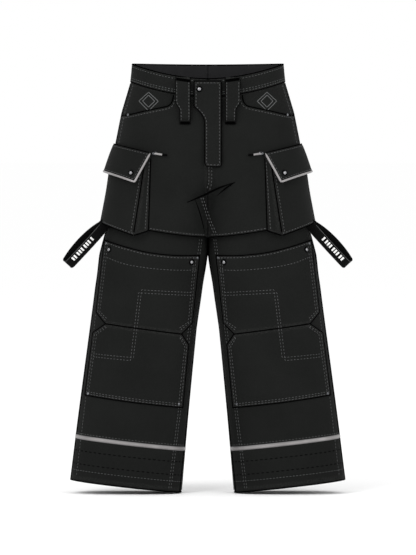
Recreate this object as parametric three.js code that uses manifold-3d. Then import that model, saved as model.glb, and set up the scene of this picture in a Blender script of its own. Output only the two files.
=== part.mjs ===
// Two-layer bunker trousers: a short outer layer with cargo pockets,
// and full legs that hang from under its hem.
// Millimetres. +Z is up, the front faces -Y, and the wearer's right side is at -X.
// The origin is the middle of the waist opening, level with the highest point of the waistband.
// Every piece of cloth is cut from a thin shell around the body by an outline drawn in the front view,
// so a piece keeps its fit when a size of the body changes.
import * as THREE from "three";
import { mergeVertices } from "three/addons/utils/BufferGeometryUtils.js";
import Module from "manifold-3d";

const wasm = await Module();
wasm.setup();

// ---- driving sizes ----
const WAIST_HALF = 186; // half width of the waist opening
const WAIST_DEPTH = 104; // half depth of the waist opening
const HIP_HALF = 229; // half width where the cargo flaps start
const SHORTS_HEM_HALF = 250; // half width at the hem of the upper layer
const SHORTS_HEM_DEPTH = 110;
const LEG_HEM_OUTER = 346; // the leg's outer edge at its hem, from the middle plane
const LEG_HEM_INNER = 68; // the leg's inner edge at its hem
const LEG_DEPTH = 98; // half depth of the leg under the upper layer
const LEG_HEM_DEPTH = 86;
const BAND = 43; // height of the waistband
const FRONT_DIP = 35; // how far the waistband's top sinks in front
const BACK_DIP = 3;
const HIP_Z = -200; // level of the widest part of the seat
const CROTCH_Z = -330;
const SHORTS_HEM_Z = -421; // the upper layer's hem at the middle
const SIDE_HEM_Z = -389; // the upper layer's hem at the side
const KNEE_Z = -654; // the knee seam, at the middle of the leg
const LEG_HEM_Z = -1045; // the leg's hem, at the middle of the leg
const LEG_TILT = THREE.MathUtils.degToRad(6.6); // the legs stand apart, so level seams slope by this much
const KNEE_BEND = THREE.MathUtils.degToRad(45); // the knee's range
const CLOTH = 1.8; // thickness of the outer cloth
const LINING = 1.2; // thickness of pocket cloth and tape
const GAP = 0.4; // clearance between layers that lie on each other
const ROUNDNESS = 2.4; // exponent of the body's rounded sections
const SIDES = 32; // facets round a section
const FAR = 400; // reaches past the body in every direction
const FINENESS = 0.03; // edges shorter than this are merged away

// ---- the body's sections ----
// level, outer edge, inner edge past the middle plane, half depth, shift to the back
const SHORTS_LEVELS = [
  [60, WAIST_HALF, WAIST_HALF, WAIST_DEPTH, 0],
  [0, WAIST_HALF, WAIST_HALF, WAIST_DEPTH, 0],
  [-BAND, WAIST_HALF + 4, WAIST_HALF - 7, WAIST_DEPTH + 4, 1],
  [-120, HIP_HALF - 16, WAIST_HALF - 19, WAIST_DEPTH + 15, 6],
  [HIP_Z, HIP_HALF, 123, WAIST_DEPTH + 22, 9],
  [-270, HIP_HALF + 6, 63, WAIST_DEPTH + 20, 8],
  [-310, HIP_HALF + 9, 24, WAIST_DEPTH + 15, 5],
  [CROTCH_Z, HIP_HALF + 11, -0.8, WAIST_DEPTH + 12, 4],
  [SHORTS_HEM_Z, SHORTS_HEM_HALF, -0.8, SHORTS_HEM_DEPTH, 0],
  [-500, SHORTS_HEM_HALF + 3, -0.8, SHORTS_HEM_DEPTH, 0],
];
const LEG_TOP_Z = -378;
const LEG_KNEE_INNER = -27; // the leg's inner edge at the knee
const LEG_LEVELS = [
  [LEG_TOP_Z + 20, SHORTS_HEM_HALF - 18, -9, LEG_DEPTH + 2, 0],
  [LEG_TOP_Z, SHORTS_HEM_HALF - 16, -9, LEG_DEPTH + 2, 0],
  [SHORTS_HEM_Z, SHORTS_HEM_HALF - 2, -9, LEG_DEPTH, 0],
  [SHORTS_HEM_Z - 40, SHORTS_HEM_HALF + 14, -1, LEG_DEPTH - 1, 0],
  [KNEE_Z, LEG_HEM_OUTER - 54, LEG_KNEE_INNER, LEG_DEPTH - 5, 0],
  [-1060, LEG_HEM_OUTER, -LEG_HEM_INNER, LEG_HEM_DEPTH, 0],
  [-1120, LEG_HEM_OUTER + 8, -LEG_HEM_INNER - 6, LEG_HEM_DEPTH - 1, 0],
];

// The section of a layer at one level: its centre, half width and half depth.
function sectionAt(levels, z) {
  let i = levels.findIndex((level) => level[0] <= z);
  i = Math.min(Math.max(i, 1), levels.length - 1);
  const [above, below] = [levels[i - 1], levels[i]];
  const t = (z - above[0]) / (below[0] - above[0]);
  const [, outer, past, depth, back] = above.map((v, k) => v + t * (below[k] - v));
  return { x: (past - outer) / 2, y: back, w: (past + outer) / 2, d: depth };
}

// A point on the section, grown outwards by offset, at an angle from +X towards +Y.
function sectionPoint(s, angle, offset) {
  const [c, q] = [Math.cos(angle), Math.sin(angle)];
  const bend = (v) => Math.sign(v) * Math.abs(v) ** (2 / ROUNDNESS);
  return [s.x + (s.w + offset) * bend(c), s.y + (s.d + offset) * bend(q)];
}

// Where the layer's front surface lies in front of a point of the front view.
function frontY(levels, offset, x, z) {
  const s = sectionAt(levels, z);
  const across = Math.min(1, Math.abs(-Math.abs(x) - s.x) / (s.w + offset));
  return s.y - (s.d + offset) * (1 - across ** ROUNDNESS) ** (1 / ROUNDNESS);
}

// ---- solids ----
function solid(geometry) {
  const bare = geometry.index ? geometry.toNonIndexed() : geometry.clone();
  for (const name of Object.keys(bare.attributes)) if (name !== "position") bare.deleteAttribute(name);
  const merged = mergeVertices(bare, 1e-4);
  return new wasm.Manifold(new wasm.Mesh({
    numProp: 3,
    vertProperties: merged.attributes.position.array,
    triVerts: new Uint32Array(merged.index.array),
  }));
}

function geometryOf(manifold) {
  const mesh = manifold.getMesh();
  const points = new Float32Array(mesh.numVert * 3);
  for (let i = 0; i < mesh.numVert; i++) {
    points.set(mesh.vertProperties.subarray(i * mesh.numProp, i * mesh.numProp + 3), i * 3);
  }
  const geometry = new THREE.BufferGeometry();
  geometry.setAttribute("position", new THREE.BufferAttribute(points, 3));
  geometry.setIndex(new THREE.BufferAttribute(mesh.triVerts, 1));
  return geometry;
}

// A closed solid through rings of equal length, from the top one down.
function loft(rings) {
  const n = rings[0].length;
  const points = rings.flat(2);
  const faces = [];
  for (let r = 0; r + 1 < rings.length; r++) {
    for (let i = 0; i < n; i++) {
      const [a, b] = [r * n + i, r * n + ((i + 1) % n)];
      faces.push(a, a + n, b, b, a + n, b + n);
    }
  }
  const last = (rings.length - 1) * n;
  const flat = THREE.ShapeUtils.triangulateShape(rings[0].map((p) => new THREE.Vector2(p[0], p[1])), []);
  const lowest = rings.at(-1).map((p) => new THREE.Vector2(p[0], p[1]));
  const under = THREE.ShapeUtils.triangulateShape(lowest, []);
  for (const [a, b, c] of flat) faces.push(a, b, c);
  for (const [a, b, c] of under) faces.push(last + a, last + c, last + b);
  const geometry = new THREE.BufferGeometry();
  geometry.setAttribute("position", new THREE.Float32BufferAttribute(points, 3));
  geometry.setIndex(faces);
  return solid(geometry);
}

// A solid moved by a matrix.
const moved = (manifold, matrix) => solid(geometryOf(manifold).applyMatrix4(matrix));
const shift = (x, y, z) => new THREE.Matrix4().makeTranslation(x, y, z);
const turnX = (angle) => new THREE.Matrix4().makeRotationX(angle);
const turnY = (angle) => new THREE.Matrix4().makeRotationY(angle);
const turnZ = (angle) => new THREE.Matrix4().makeRotationZ(angle);

// The right half of the body, filled, with the layer's surface moved out by offset(z).
function body(levels, offset, extra = []) {
  const grow = typeof offset === "function" ? offset : () => offset;
  const heights = [...new Set([...levels.map((level) => level[0]), ...extra])].sort((a, b) => b - a);
  return loft(heights.map((z) => Array.from({ length: SIDES }, (_, i) => {
    const [x, y] = sectionPoint(sectionAt(levels, z), (i / SIDES) * 2 * Math.PI, grow(z));
    return [x, y, z];
  })));
}

// An outline of the front view pushed through the body from y = near to y = far.
function prism(outline, near = -FAR, far = FAR) {
  const corners = outline instanceof THREE.Shape ? null : outline.map(([x, z]) => new THREE.Vector2(x, z));
  const shape = corners ? new THREE.Shape(corners) : outline;
  const settings = { depth: far - near, bevelEnabled: false, curveSegments: 6 };
  const geometry = new THREE.ExtrudeGeometry(shape, settings);
  return solid(geometry.rotateX(Math.PI / 2).translate(0, far, 0));
}

function block(low, high) {
  const size = high.map((v, k) => v - low[k]);
  const middle = high.map((v, k) => (v + low[k]) / 2);
  return solid(new THREE.BoxGeometry(...size).translate(...middle));
}

const RIGHT_HALF = block([-FAR, -FAR, -1200], [-0.2, FAR, 100]);

// A shell of cloth between two offsets of a layer, on the right half only.
function shell(levels, inner, outer, extra = []) {
  return body(levels, outer, extra).subtract(body(levels, inner, extra)).intersect(RIGHT_HALF);
}

// Cloth cut to an outline of the front view.
function cut(sheet, outline, near = -FAR, far = FAR) {
  return sheet.intersect(prism(outline, near, far));
}

// A turned piece whose profile is [radius, height] from the axis out, standing on a point along a direction.
function turned(profile, at, along, facets = 12) {
  const lathe = new THREE.LatheGeometry(profile.map(([r, h]) => new THREE.Vector2(r, h)), facets);
  const turn = new THREE.Quaternion().setFromUnitVectors(new THREE.Vector3(0, 1, 0), along);
  return solid(lathe.applyQuaternion(turn).translate(at.x, at.y, at.z));
}

// The outward normal and the point of a layer's front surface.
function onFront(levels, offset, x, z) {
  const offsetAt = typeof offset === "function" ? offset : () => offset;
  const at = (px, pz) => new THREE.Vector3(px, frontY(levels, offsetAt(pz), px, pz), pz);
  const across = at(x + 2, z).sub(at(x - 2, z));
  const up = at(x, z + 2).sub(at(x, z - 2));
  return { at: at(x, z), normal: across.cross(up).normalize() };
}

// ---- outlines shared by several pieces ----
const along = (from, to, steps, f) =>
  Array.from({ length: steps + 1 }, (_, i) => f(from + ((to - from) * i) / steps));
const bandTop = (x, dip) => -dip * (1 - (Math.abs(x) / WAIST_HALF) ** 1.9);
const bandSeam = (x, dip) => -BAND - dip * (1 - Math.min(1, Math.abs(x) / (WAIST_HALF + 4)) ** 1.9);
const SIDE_X = -FAR;
const hemAt = (x) =>
  SHORTS_HEM_Z + (SIDE_HEM_Z - SHORTS_HEM_Z) * Math.min(1, (Math.abs(x) / SHORTS_HEM_HALF) ** 1.4);
const sloped = (z, x, middle) => z - Math.tan(LEG_TILT) * (x - middle);
const LEG_MIDDLE = (z) => sectionAt(LEG_LEVELS, z).x;
const kneeAt = (x) => sloped(KNEE_Z, x, LEG_MIDDLE(KNEE_Z));
const legHemAt = (x) => sloped(LEG_HEM_Z, x, LEG_MIDDLE(LEG_HEM_Z));

const pieces = {}; // name without side -> manifold of the right side; "middle" pieces are listed apart
const middles = {};

// ---- waistband ----
const BAND_PROUD = 0.6;
const BAND_SLIT = 3; // half the gap between the band's ends in front
function bandHalf(inner, outer, slit) {
  const sheet = shell(SHORTS_LEVELS, inner, outer);
  const outlineOf = (dip, end) => [
    ...along(end, -WAIST_HALF, 7, (x) => [x, bandTop(x, dip)]),
    [SIDE_X, 0],
    [SIDE_X, -BAND + GAP],
    ...along(-WAIST_HALF, end, 7, (x) => [x, bandSeam(x, dip) + GAP]),
  ];
  const front = cut(sheet, outlineOf(FRONT_DIP, -slit), -FAR, 1);
  return front.add(cut(sheet, outlineOf(BACK_DIP, 1), 0, FAR));
}
function mirrored(manifold) {
  const geometry = geometryOf(manifold).toNonIndexed();
  const p = geometry.attributes.position;
  for (let i = 0; i < p.count; i += 3) {
    const [b, c] = [i + 1, i + 2].map((k) => [-p.getX(k), p.getY(k), p.getZ(k)]);
    p.setX(i, -p.getX(i));
    p.setXYZ(i + 1, ...c);
    p.setXYZ(i + 2, ...b);
  }
  return solid(geometry);
}
// Two halves sewn at the back: a strip across the middle plane joins them.
function acrossBack(half, levels, inner, outer, low, high) {
  const y = (offset, z) => -frontY(levels, offset, 0, z) + 2 * sectionAt(levels, z).y;
  const between = levels.map(([z]) => z).filter((z) => z < high && z > low);
  const seam = loft([high, ...between, low].map((z) => [
    [-1, y(inner, z), z], [1, y(inner, z), z], [1, y(outer, z), z], [-1, y(outer, z), z],
  ]));
  return half.add(mirrored(half)).add(seam);
}
const FACING = -CLOTH - GAP;
middles.waistband = acrossBack(
  bandHalf(-CLOTH, BAND_PROUD, BAND_SLIT), SHORTS_LEVELS, -CLOTH, BAND_PROUD,
  -BAND - BACK_DIP + 1, -BACK_DIP - 1);
middles.waistband_facing = acrossBack(
  bandHalf(FACING - LINING, FACING, BAND_SLIT), SHORTS_LEVELS, FACING - LINING, FACING,
  -BAND - BACK_DIP + 1, -BACK_DIP - 1);

// ---- upper layer: front and back panels, hand pockets, yoke ----
const FLY_SLIT = 6; // half the fly's opening
const FLY_END_Z = -228;
const SEAM_GAP = 0.3;
const POCKET_SIDE = [-WAIST_HALF - 30, -124]; // the scoop's end at the side seam
const POCKET_KNEE = [-96, -103]; // where the scoop turns up
const POCKET_TOP = [-84, bandSeam(-84, FRONT_DIP) + 2];
const scoop = (grow) => [
  [SIDE_X, POCKET_SIDE[1] - grow],
  [POCKET_SIDE[0], POCKET_SIDE[1] - grow],
  [POCKET_KNEE[0] - 8, POCKET_KNEE[1] - 1 - grow],
  [POCKET_KNEE[0] + 4 + grow, POCKET_KNEE[1] + 8 - grow],
  [POCKET_TOP[0] + grow, POCKET_TOP[1]],
  [POCKET_TOP[0] + grow, 20],
  [SIDE_X, 20],
];
const outerCloth = shell(SHORTS_LEVELS, -CLOTH, 0);
const frontOutline = [
  ...along(-SEAM_GAP, -WAIST_HALF, 7, (x) => [x, bandSeam(x, FRONT_DIP) - GAP]),
  [SIDE_X, -BAND],
  [SIDE_X, SIDE_HEM_Z],
  ...along(-SHORTS_HEM_HALF, -SEAM_GAP, 8, (x) => [x, hemAt(x)]),
];
const flySlit = prism([[-FLY_SLIT, 20], [20, 20], [20, FLY_END_Z], [-FLY_SLIT, FLY_END_Z]], -FAR, 0);
pieces.front_panel = cut(outerCloth, frontOutline, -FAR, -SEAM_GAP)
  .subtract(prism(scoop(0), -FAR, 0)).subtract(flySlit);
const facingCloth = shell(SHORTS_LEVELS, FACING - LINING, FACING);
const FACING_LAP = 12; // how far the facing runs on behind the pocket's edge
pieces.pocket_facing = facingCloth.intersect(prism(scoop(FACING_LAP), -FAR, -SEAM_GAP)).intersect(prism([
  ...along(POCKET_TOP[0] + FACING_LAP, -WAIST_HALF, 6, (x) => [x, bandSeam(x, FRONT_DIP) - GAP]),
  [SIDE_X, -BAND - GAP],
  [SIDE_X, -200],
  [POCKET_TOP[0] + FACING_LAP, -200],
]));
const BAG_LOW_Z = -262;
const bagIn = FACING - LINING - GAP;
const bagCloth = shell(SHORTS_LEVELS, bagIn - LINING, bagIn);
pieces.hand_pocket_bag = cut(bagCloth, [
  [-40, -96], [-200, -64], [-206, -150], [-196, BAG_LOW_Z + 24],
  [-170, BAG_LOW_Z], [-80, BAG_LOW_Z], [-48, BAG_LOW_Z + 30],
], -FAR, -SEAM_GAP);

const YOKE_SIDE_Z = -84;
const YOKE_MIDDLE_Z = -112;
const yokeAt = (x) => YOKE_MIDDLE_Z + (YOKE_SIDE_Z - YOKE_MIDDLE_Z) * Math.min(1, Math.abs(x) / HIP_HALF);
const yokeHalf = cut(outerCloth, [
  ...along(0, -WAIST_HALF, 6, (x) => [x, bandSeam(x, BACK_DIP) - GAP]),
  [SIDE_X, -BAND - GAP],
  [SIDE_X, YOKE_SIDE_Z],
  [0, YOKE_MIDDLE_Z],
], 1 + GAP, FAR);
middles.back_yoke = acrossBack(
  yokeHalf, SHORTS_LEVELS, -CLOTH, 0, YOKE_MIDDLE_Z + 1, -BAND - BACK_DIP - 1);
pieces.back_panel = cut(outerCloth, [
  [-SEAM_GAP, yokeAt(0) - GAP],
  [SIDE_X, YOKE_SIDE_Z - GAP],
  [SIDE_X, SIDE_HEM_Z],
  ...along(-SHORTS_HEM_HALF, -SEAM_GAP, 8, (x) => [x, hemAt(x)]),
], SEAM_GAP, FAR);
const backPocketCloth = shell(SHORTS_LEVELS, GAP, GAP + CLOTH);
pieces.back_pocket = cut(backPocketCloth, [
  [-44, -146], [-164, -134], [-166, -246], [-108, -272], [-46, -258],
], 0, FAR);

// ---- belt loops ----
const LOOP_STAND = 11; // how far a loop stands off the cloth, so that a duty belt fits
const LOOP_CLOTH = 1.6;
const LOOP_END = 6; // the sewn end of a loop
const loopCloth = shell(SHORTS_LEVELS, LOOP_STAND, LOOP_STAND + LOOP_CLOTH);
const loopRoot = shell(SHORTS_LEVELS, BAND_PROUD + GAP, LOOP_STAND + LOOP_CLOTH);
// A loop is its strap, and the two ends that reach back to the cloth.
function beltLoop(outline, near, far) {
  const heights = outline.map(([, z]) => z);
  const [high, low] = [Math.max(...heights), Math.min(...heights)];
  const ends = [[high - LOOP_END, high + 1], [low - 1, low + LOOP_END]].map(([bottom, top]) =>
    prism([[-FAR, top], [FAR, top], [FAR, bottom], [-FAR, bottom]]));
  const strap = cut(loopCloth, outline, near, far);
  const feet = cut(loopRoot, outline, near, far);
  return strap.add(feet.intersect(ends[0])).add(feet.intersect(ends[1]));
}
const LOOP_INNER_X = -43;
const LOOP_OUTER_X = -80;
const LOOP_FOOT_X = -69; // the loop's narrow lower part
const LOOP_TOP_Z = -33;
const LOOP_LOW_Z = -146;
const frontLoopShape = new THREE.Shape();
frontLoopShape.moveTo(LOOP_INNER_X, LOOP_TOP_Z);
frontLoopShape.lineTo(LOOP_OUTER_X, LOOP_TOP_Z);
frontLoopShape.lineTo(LOOP_OUTER_X, -94);
frontLoopShape.bezierCurveTo(LOOP_OUTER_X, -102, LOOP_FOOT_X, -100, LOOP_FOOT_X, -118);
frontLoopShape.lineTo(LOOP_FOOT_X, LOOP_LOW_Z);
frontLoopShape.lineTo(LOOP_INNER_X, LOOP_LOW_Z);
pieces.front_belt_loop = beltLoop(frontLoopShape.getPoints(5).map((p) => [p.x, p.y]), -FAR, 0);
const BACK_LOOP_WIDTH = 26;
const backLoop = (x) => beltLoop([
  [x, -BACK_DIP - 4], [x - BACK_LOOP_WIDTH, -BACK_DIP - 4], [x - BACK_LOOP_WIDTH, -66], [x, -66],
], 0, FAR);
pieces.back_belt_loop = backLoop(-98);
const backLoopY = (offset, z) => 2 * sectionAt(SHORTS_LEVELS, z).y - frontY(SHORTS_LEVELS, offset, 0, z);
const loopBar = (z0, z1, near, far) => loft([z1, z0].map((z) => [
  [-BACK_LOOP_WIDTH / 2, backLoopY(near, z), z], [BACK_LOOP_WIDTH / 2, backLoopY(near, z), z],
  [BACK_LOOP_WIDTH / 2, backLoopY(far, z), z], [-BACK_LOOP_WIDTH / 2, backLoopY(far, z), z],
]));
const LOOP_FAR = LOOP_STAND + LOOP_CLOTH;
middles.back_belt_loop_middle = loopBar(-66, -BACK_DIP - 4, LOOP_STAND, LOOP_FAR)
  .add(loopBar(-BACK_DIP - 4 - LOOP_END, -BACK_DIP - 4, BAND_PROUD + GAP, LOOP_FAR))
  .add(loopBar(-66, -66 + LOOP_END, BAND_PROUD + GAP, LOOP_FAR));

// ---- cargo pockets: a face, a gusset round it, and a flap sewn over its mouth ----
const FLAP_TOP_Z = -198; // the flap's seam at the side
const FLAP_FALL = 20; // how far the seam sinks towards the front
const FLAP_FLARE = 0.29; // how fast the flap leaves the body on its way down
const POCKET_TOP_Z = -226;
const POCKET_LOW_Z = -398;
const POCKET_FRONT_SINK = 14; // the pocket's bottom sinks this much towards the front
const POCKET_BULGE_TOP = 8;
const POCKET_BULGE_LOW = 18;
const bulgeAt = (z) => POCKET_BULGE_TOP
  + ((POCKET_BULGE_LOW - POCKET_BULGE_TOP) * (POCKET_TOP_Z - z)) / (POCKET_TOP_Z - POCKET_LOW_Z);
const flareAt = (z) => 2.4 + FLAP_FLARE * Math.max(0, FLAP_TOP_Z - z);
const cargoHeights = [-230, -250, -290, -360, -400];
const POCKET_BACK_Y = 26; // the pocket's back edge, behind the side seam
const faceShell = shell(SHORTS_LEVELS, (z) => bulgeAt(z) - CLOTH, bulgeAt, cargoHeights);
const pocketBottom = (x) => POCKET_LOW_Z - POCKET_FRONT_SINK * Math.max(0, 1 - (-x - 182) / 78);
const POCKET_EDGE_TOP = [-152, POCKET_TOP_Z];
const POCKET_EDGE_LOW = [-182, pocketBottom(-182)];
const faceOutline = [
  POCKET_EDGE_TOP, [SIDE_X, POCKET_TOP_Z + 14], [SIDE_X, SIDE_HEM_Z - 1],
  [-260, SIDE_HEM_Z - 1], POCKET_EDGE_LOW,
];
pieces.cargo_face = cut(faceShell, faceOutline, -FAR, POCKET_BACK_Y);
// The gusset closes the face to the body: a slanting front wall, a floor and a back wall.
const GUSSET_FOOT_TOP = -141;
const GUSSET_FOOT_LOW = -148;
const GUSSET_WALL = 1.4;
const GUSSET_REACH = 4; // how far the solids that make the gusset run past the face and into the body
const gussetRing = (z, inset) => {
  const t = (POCKET_TOP_Z - z) / (POCKET_TOP_Z - POCKET_LOW_Z);
  const lean = (POCKET_EDGE_LOW[0] - POCKET_EDGE_TOP[0]) * t;
  const corner = POCKET_EDGE_TOP[0] + lean - inset;
  const foot = GUSSET_FOOT_TOP + t * (GUSSET_FOOT_LOW - GUSSET_FOOT_TOP) - inset;
  const s = sectionAt(SHORTS_LEVELS, z);
  const back = POCKET_BACK_Y - inset;
  const face = (x, y) => [x, y, z];
  const lip = bulgeAt(z) + GUSSET_REACH;
  // The slanting front wall continues its own line past the face and past the body.
  const footY = frontY(SHORTS_LEVELS, 0, foot, z);
  const cornerY = frontY(SHORTS_LEVELS, bulgeAt(z), corner, z);
  const onLine = (y) => foot + ((corner - foot) * (y - footY)) / (cornerY - footY);
  return [
    face(onLine(cornerY - GUSSET_REACH), cornerY - GUSSET_REACH),
    face(s.x - s.w - lip, cornerY - GUSSET_REACH),
    face(s.x - s.w - lip, back),
    face(foot, back),
    face(onLine(footY + GUSSET_REACH), footY + GUSSET_REACH),
  ].reverse();
};
const gussetLevels = [POCKET_TOP_Z + 4, POCKET_LOW_Z - POCKET_FRONT_SINK - 4];
const gussetOuter = loft(gussetLevels.map((z) => gussetRing(z, 0)));
const gussetInner = loft([POCKET_TOP_Z + 30, gussetLevels[1] - 1].map((z) => gussetRing(z, GUSSET_WALL)));
const gussetFloor = (lift) => [
  [20, 20], [SIDE_X, 20], [SIDE_X, SIDE_HEM_Z - 1 + lift], [-260, SIDE_HEM_Z - 1 + lift],
  [POCKET_EDGE_LOW[0], POCKET_EDGE_LOW[1] + lift], [GUSSET_FOOT_LOW + 6, hemAt(GUSSET_FOOT_LOW) + lift],
];
const mouth = prism([
  [20, 20], [SIDE_X, 20], [SIDE_X, POCKET_TOP_Z + 14],
  [POCKET_EDGE_TOP[0], POCKET_TOP_Z], [20, POCKET_TOP_Z],
]);
pieces.cargo_gusset = gussetOuter.intersect(prism(gussetFloor(0)))
  .subtract(gussetInner.intersect(prism(gussetFloor(GUSSET_WALL))))
  .subtract(mouth)
  .subtract(body(SHORTS_LEVELS, GAP))
  .intersect(body(SHORTS_LEVELS, (z) => bulgeAt(z) - CLOTH - GAP, cargoHeights));

// The flap and its reflective edge.
const FLAP_BACK_Y = 34;
const flapSeamAt = (x) => FLAP_TOP_Z - FLAP_FALL * Math.max(0, 1 - (-x - 140) / (HIP_HALF - 140));
const FLAP_FRONT_LOW = [-180, -284];
const FLAP_SIDE_LOW_Z = -264;
const PIPING = 6;
const flapLow = (x, up) => FLAP_SIDE_LOW_Z + up
  + (FLAP_FRONT_LOW[1] - FLAP_SIDE_LOW_Z) * Math.max(0, 1 - (-x - 180) / 78);
const flapBack = -HIP_HALF - 60;
// The flap's outline, drawn in from its free edges by inset and raised past its seam by rise.
const flapOutline = (inset, rise) => [
  [-140 - inset, flapSeamAt(-140 - inset)],
  ...along(-140.1 - inset, -HIP_HALF, 5, (x) => [x, flapSeamAt(x) + rise]),
  [flapBack, FLAP_TOP_Z + rise],
  [flapBack, FLAP_SIDE_LOW_Z + inset],
  ...along(-258, FLAP_FRONT_LOW[0] - inset, 3, (x) => [x, flapLow(x, inset)]),
];
const flapCloth = shell(SHORTS_LEVELS, flareAt, (z) => flareAt(z) + CLOTH, cargoHeights);
pieces.cargo_flap = cut(flapCloth, flapOutline(PIPING, 0), -FAR, FLAP_BACK_Y);
const flapEdge = shell(
  SHORTS_LEVELS, (z) => flareAt(z) - 0.2, (z) => flareAt(z) + CLOTH + 0.2, cargoHeights);
pieces.flap_piping = cut(flapEdge, flapOutline(0, 0), -FAR, FLAP_BACK_Y)
  .subtract(prism(flapOutline(PIPING - GAP, 9), -FAR - 1, FLAP_BACK_Y + 1));

// ---- snaps ----
const CAP_PROFILE = [[0, 0], [7, 0], [7.4, 0.8], [5.6, 2.2], [0, 3]];
const studProfile = (height) => [[0, 0], [5, 0], [5, 1], [2.6, 1.4], [3, height], [0, height]];
const SNAP_X = -194;
const SNAP_Z = -264;
const capOn = (levels, offset, x, z, sink = 0) => {
  const place = onFront(levels, offset, x, z);
  return turned(CAP_PROFILE, place.at.addScaledVector(place.normal, GAP - sink), place.normal);
};
pieces.flap_snap_cap = capOn(SHORTS_LEVELS, (z) => flareAt(z) + CLOTH, SNAP_X, SNAP_Z);
const studPlace = onFront(SHORTS_LEVELS, bulgeAt, SNAP_X, SNAP_Z);
const STUD_CLEAR = 2; // between the closed stud's tip and the flap that leans over it
const studRoom = flareAt(SNAP_Z) - bulgeAt(SNAP_Z) - STUD_CLEAR;
pieces.cargo_snap_stud = turned(
  studProfile(studRoom), studPlace.at.addScaledVector(studPlace.normal, GAP), studPlace.normal, 12);

// ---- fly: shield, snap, zip ----
const SHIELD_STAND = 5.5;
const SHIELD_LEFT = -34;
const SHIELD_NARROW = -8;
const SHIELD_RIGHT = 34;
const SHIELD_TOP_Z = -38;
const SHIELD_LOW_Z = -250;
const shieldShape = new THREE.Shape();
shieldShape.moveTo(SHIELD_RIGHT, SHIELD_TOP_Z);
shieldShape.lineTo(SHIELD_LEFT, SHIELD_TOP_Z);
shieldShape.lineTo(SHIELD_LEFT, -100);
shieldShape.bezierCurveTo(SHIELD_LEFT, -112, SHIELD_NARROW, -106, SHIELD_NARROW, -142);
shieldShape.lineTo(SHIELD_NARROW, SHIELD_LOW_Z + 16);
shieldShape.quadraticCurveTo(SHIELD_NARROW, SHIELD_LOW_Z, SHIELD_NARROW + 14, SHIELD_LOW_Z);
shieldShape.lineTo(SHIELD_RIGHT, SHIELD_LOW_Z);
const shieldHalf = body(SHORTS_LEVELS, SHIELD_STAND + CLOTH)
  .subtract(body(SHORTS_LEVELS, SHIELD_STAND)).intersect(RIGHT_HALF);
const shieldSeam = loft([0, -BAND, -120, HIP_Z, -270].map((z) => [
  [-1, frontY(SHORTS_LEVELS, SHIELD_STAND + CLOTH, 0, z), z],
  [1, frontY(SHORTS_LEVELS, SHIELD_STAND + CLOTH, 0, z), z],
  [1, frontY(SHORTS_LEVELS, SHIELD_STAND, 0, z), z], [-1, frontY(SHORTS_LEVELS, SHIELD_STAND, 0, z), z],
]));
middles.fly_shield = shieldHalf.add(mirrored(shieldHalf)).add(shieldSeam)
  .intersect(prism(shieldShape, -FAR, 0));
const FLY_SNAP = [-21, -60];
const flyCapY = frontY(SHORTS_LEVELS, SHIELD_STAND + CLOTH, ...FLY_SNAP) - GAP;
const FORWARD = new THREE.Vector3(0, -1, 0);
middles.fly_snap_cap = turned(
  CAP_PROFILE, new THREE.Vector3(FLY_SNAP[0], flyCapY - 0.4, FLY_SNAP[1]), FORWARD);
const flyStudY = frontY(SHORTS_LEVELS, BAND_PROUD, ...FLY_SNAP) - 3 * GAP;
middles.fly_snap_stud = turned(
  studProfile(SHIELD_STAND - BAND_PROUD - 5 * GAP),
  new THREE.Vector3(FLY_SNAP[0], flyStudY, FLY_SNAP[1]), FORWARD, 12);

const ZIP_TOP_Z = -92;
const ZIP_LOW_Z = FLY_END_Z + 6;
const ZIP_SINK = 2.4; // the chain's front face lies this far behind the front cloth's outer face
const zipTopY = frontY(SHORTS_LEVELS, -ZIP_SINK, 0, ZIP_TOP_Z);
const zipLowY = frontY(SHORTS_LEVELS, -ZIP_SINK, 0, ZIP_LOW_Z);
const ZIP_LEAN = Math.atan2(zipTopY - zipLowY, ZIP_TOP_Z - ZIP_LOW_Z);
const ZIP_LENGTH = Math.hypot(zipTopY - zipLowY, ZIP_TOP_Z - ZIP_LOW_Z);
const CHAIN_HALF = 2.3;
const CHAIN_THICK = 1.4;
const TOOTH_PITCH = 8;
const TAPE_HALF = 16;
// The zip is drawn from its top end down -Z with its face at y = 0, then leaned to follow the cloth.
const zipFrame = shift(0, zipTopY, ZIP_TOP_Z).multiply(turnX(-ZIP_LEAN));
const placeZip = (manifold) => moved(manifold, zipFrame);
const teeth = Math.floor(ZIP_LENGTH / TOOTH_PITCH);
const edge = (side) => along(0, teeth * 2 - 1, teeth * 2 - 1, (k) => [
  side * (k % 2 ? CHAIN_HALF : CHAIN_HALF - 0.7), (-k * TOOTH_PITCH) / 2,
]);
middles.fly_zip_chain = placeZip(prism([...edge(-1), ...edge(1).reverse()], 0, CHAIN_THICK));
middles.fly_zip_tape = placeZip(block(
  [-TAPE_HALF, CHAIN_THICK + GAP, -ZIP_LENGTH], [TAPE_HALF, CHAIN_THICK + GAP + 0.8, 0]));
// The slider is a channel over the chain, with a post for its pull.
const SLIDER_LENGTH = 11;
const SLIDER_PLATE = 1.1;
const sliderX = CHAIN_HALF + GAP;
const sliderFront = -GAP - SLIDER_PLATE;
const postZ = -1 - SLIDER_LENGTH * 0.45;
const POST_R = 1.3;
const POST_LENGTH = 5.8;
const sliderSide = (x) => block([x - 0.6, sliderFront, -1 - SLIDER_LENGTH], [x + 0.6, 0.9, -1]);
const sliderBlock = block([-sliderX - 1.2, sliderFront, -1 - SLIDER_LENGTH], [sliderX + 1.2, -GAP, -1]);
middles.fly_zip_slider = placeZip(sliderBlock
  .add(sliderSide(-sliderX - 0.6))
  .add(sliderSide(sliderX + 0.6))
  .add(turned([[0, 0], [POST_R, 0], [POST_R, POST_LENGTH], [0, POST_LENGTH]],
    new THREE.Vector3(0, sliderFront + 0.2, postZ), FORWARD, 10)));
const PULL_LENGTH = 30;
const PULL_WIDTH = 7;
const PULL_THICK = 1;
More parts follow.
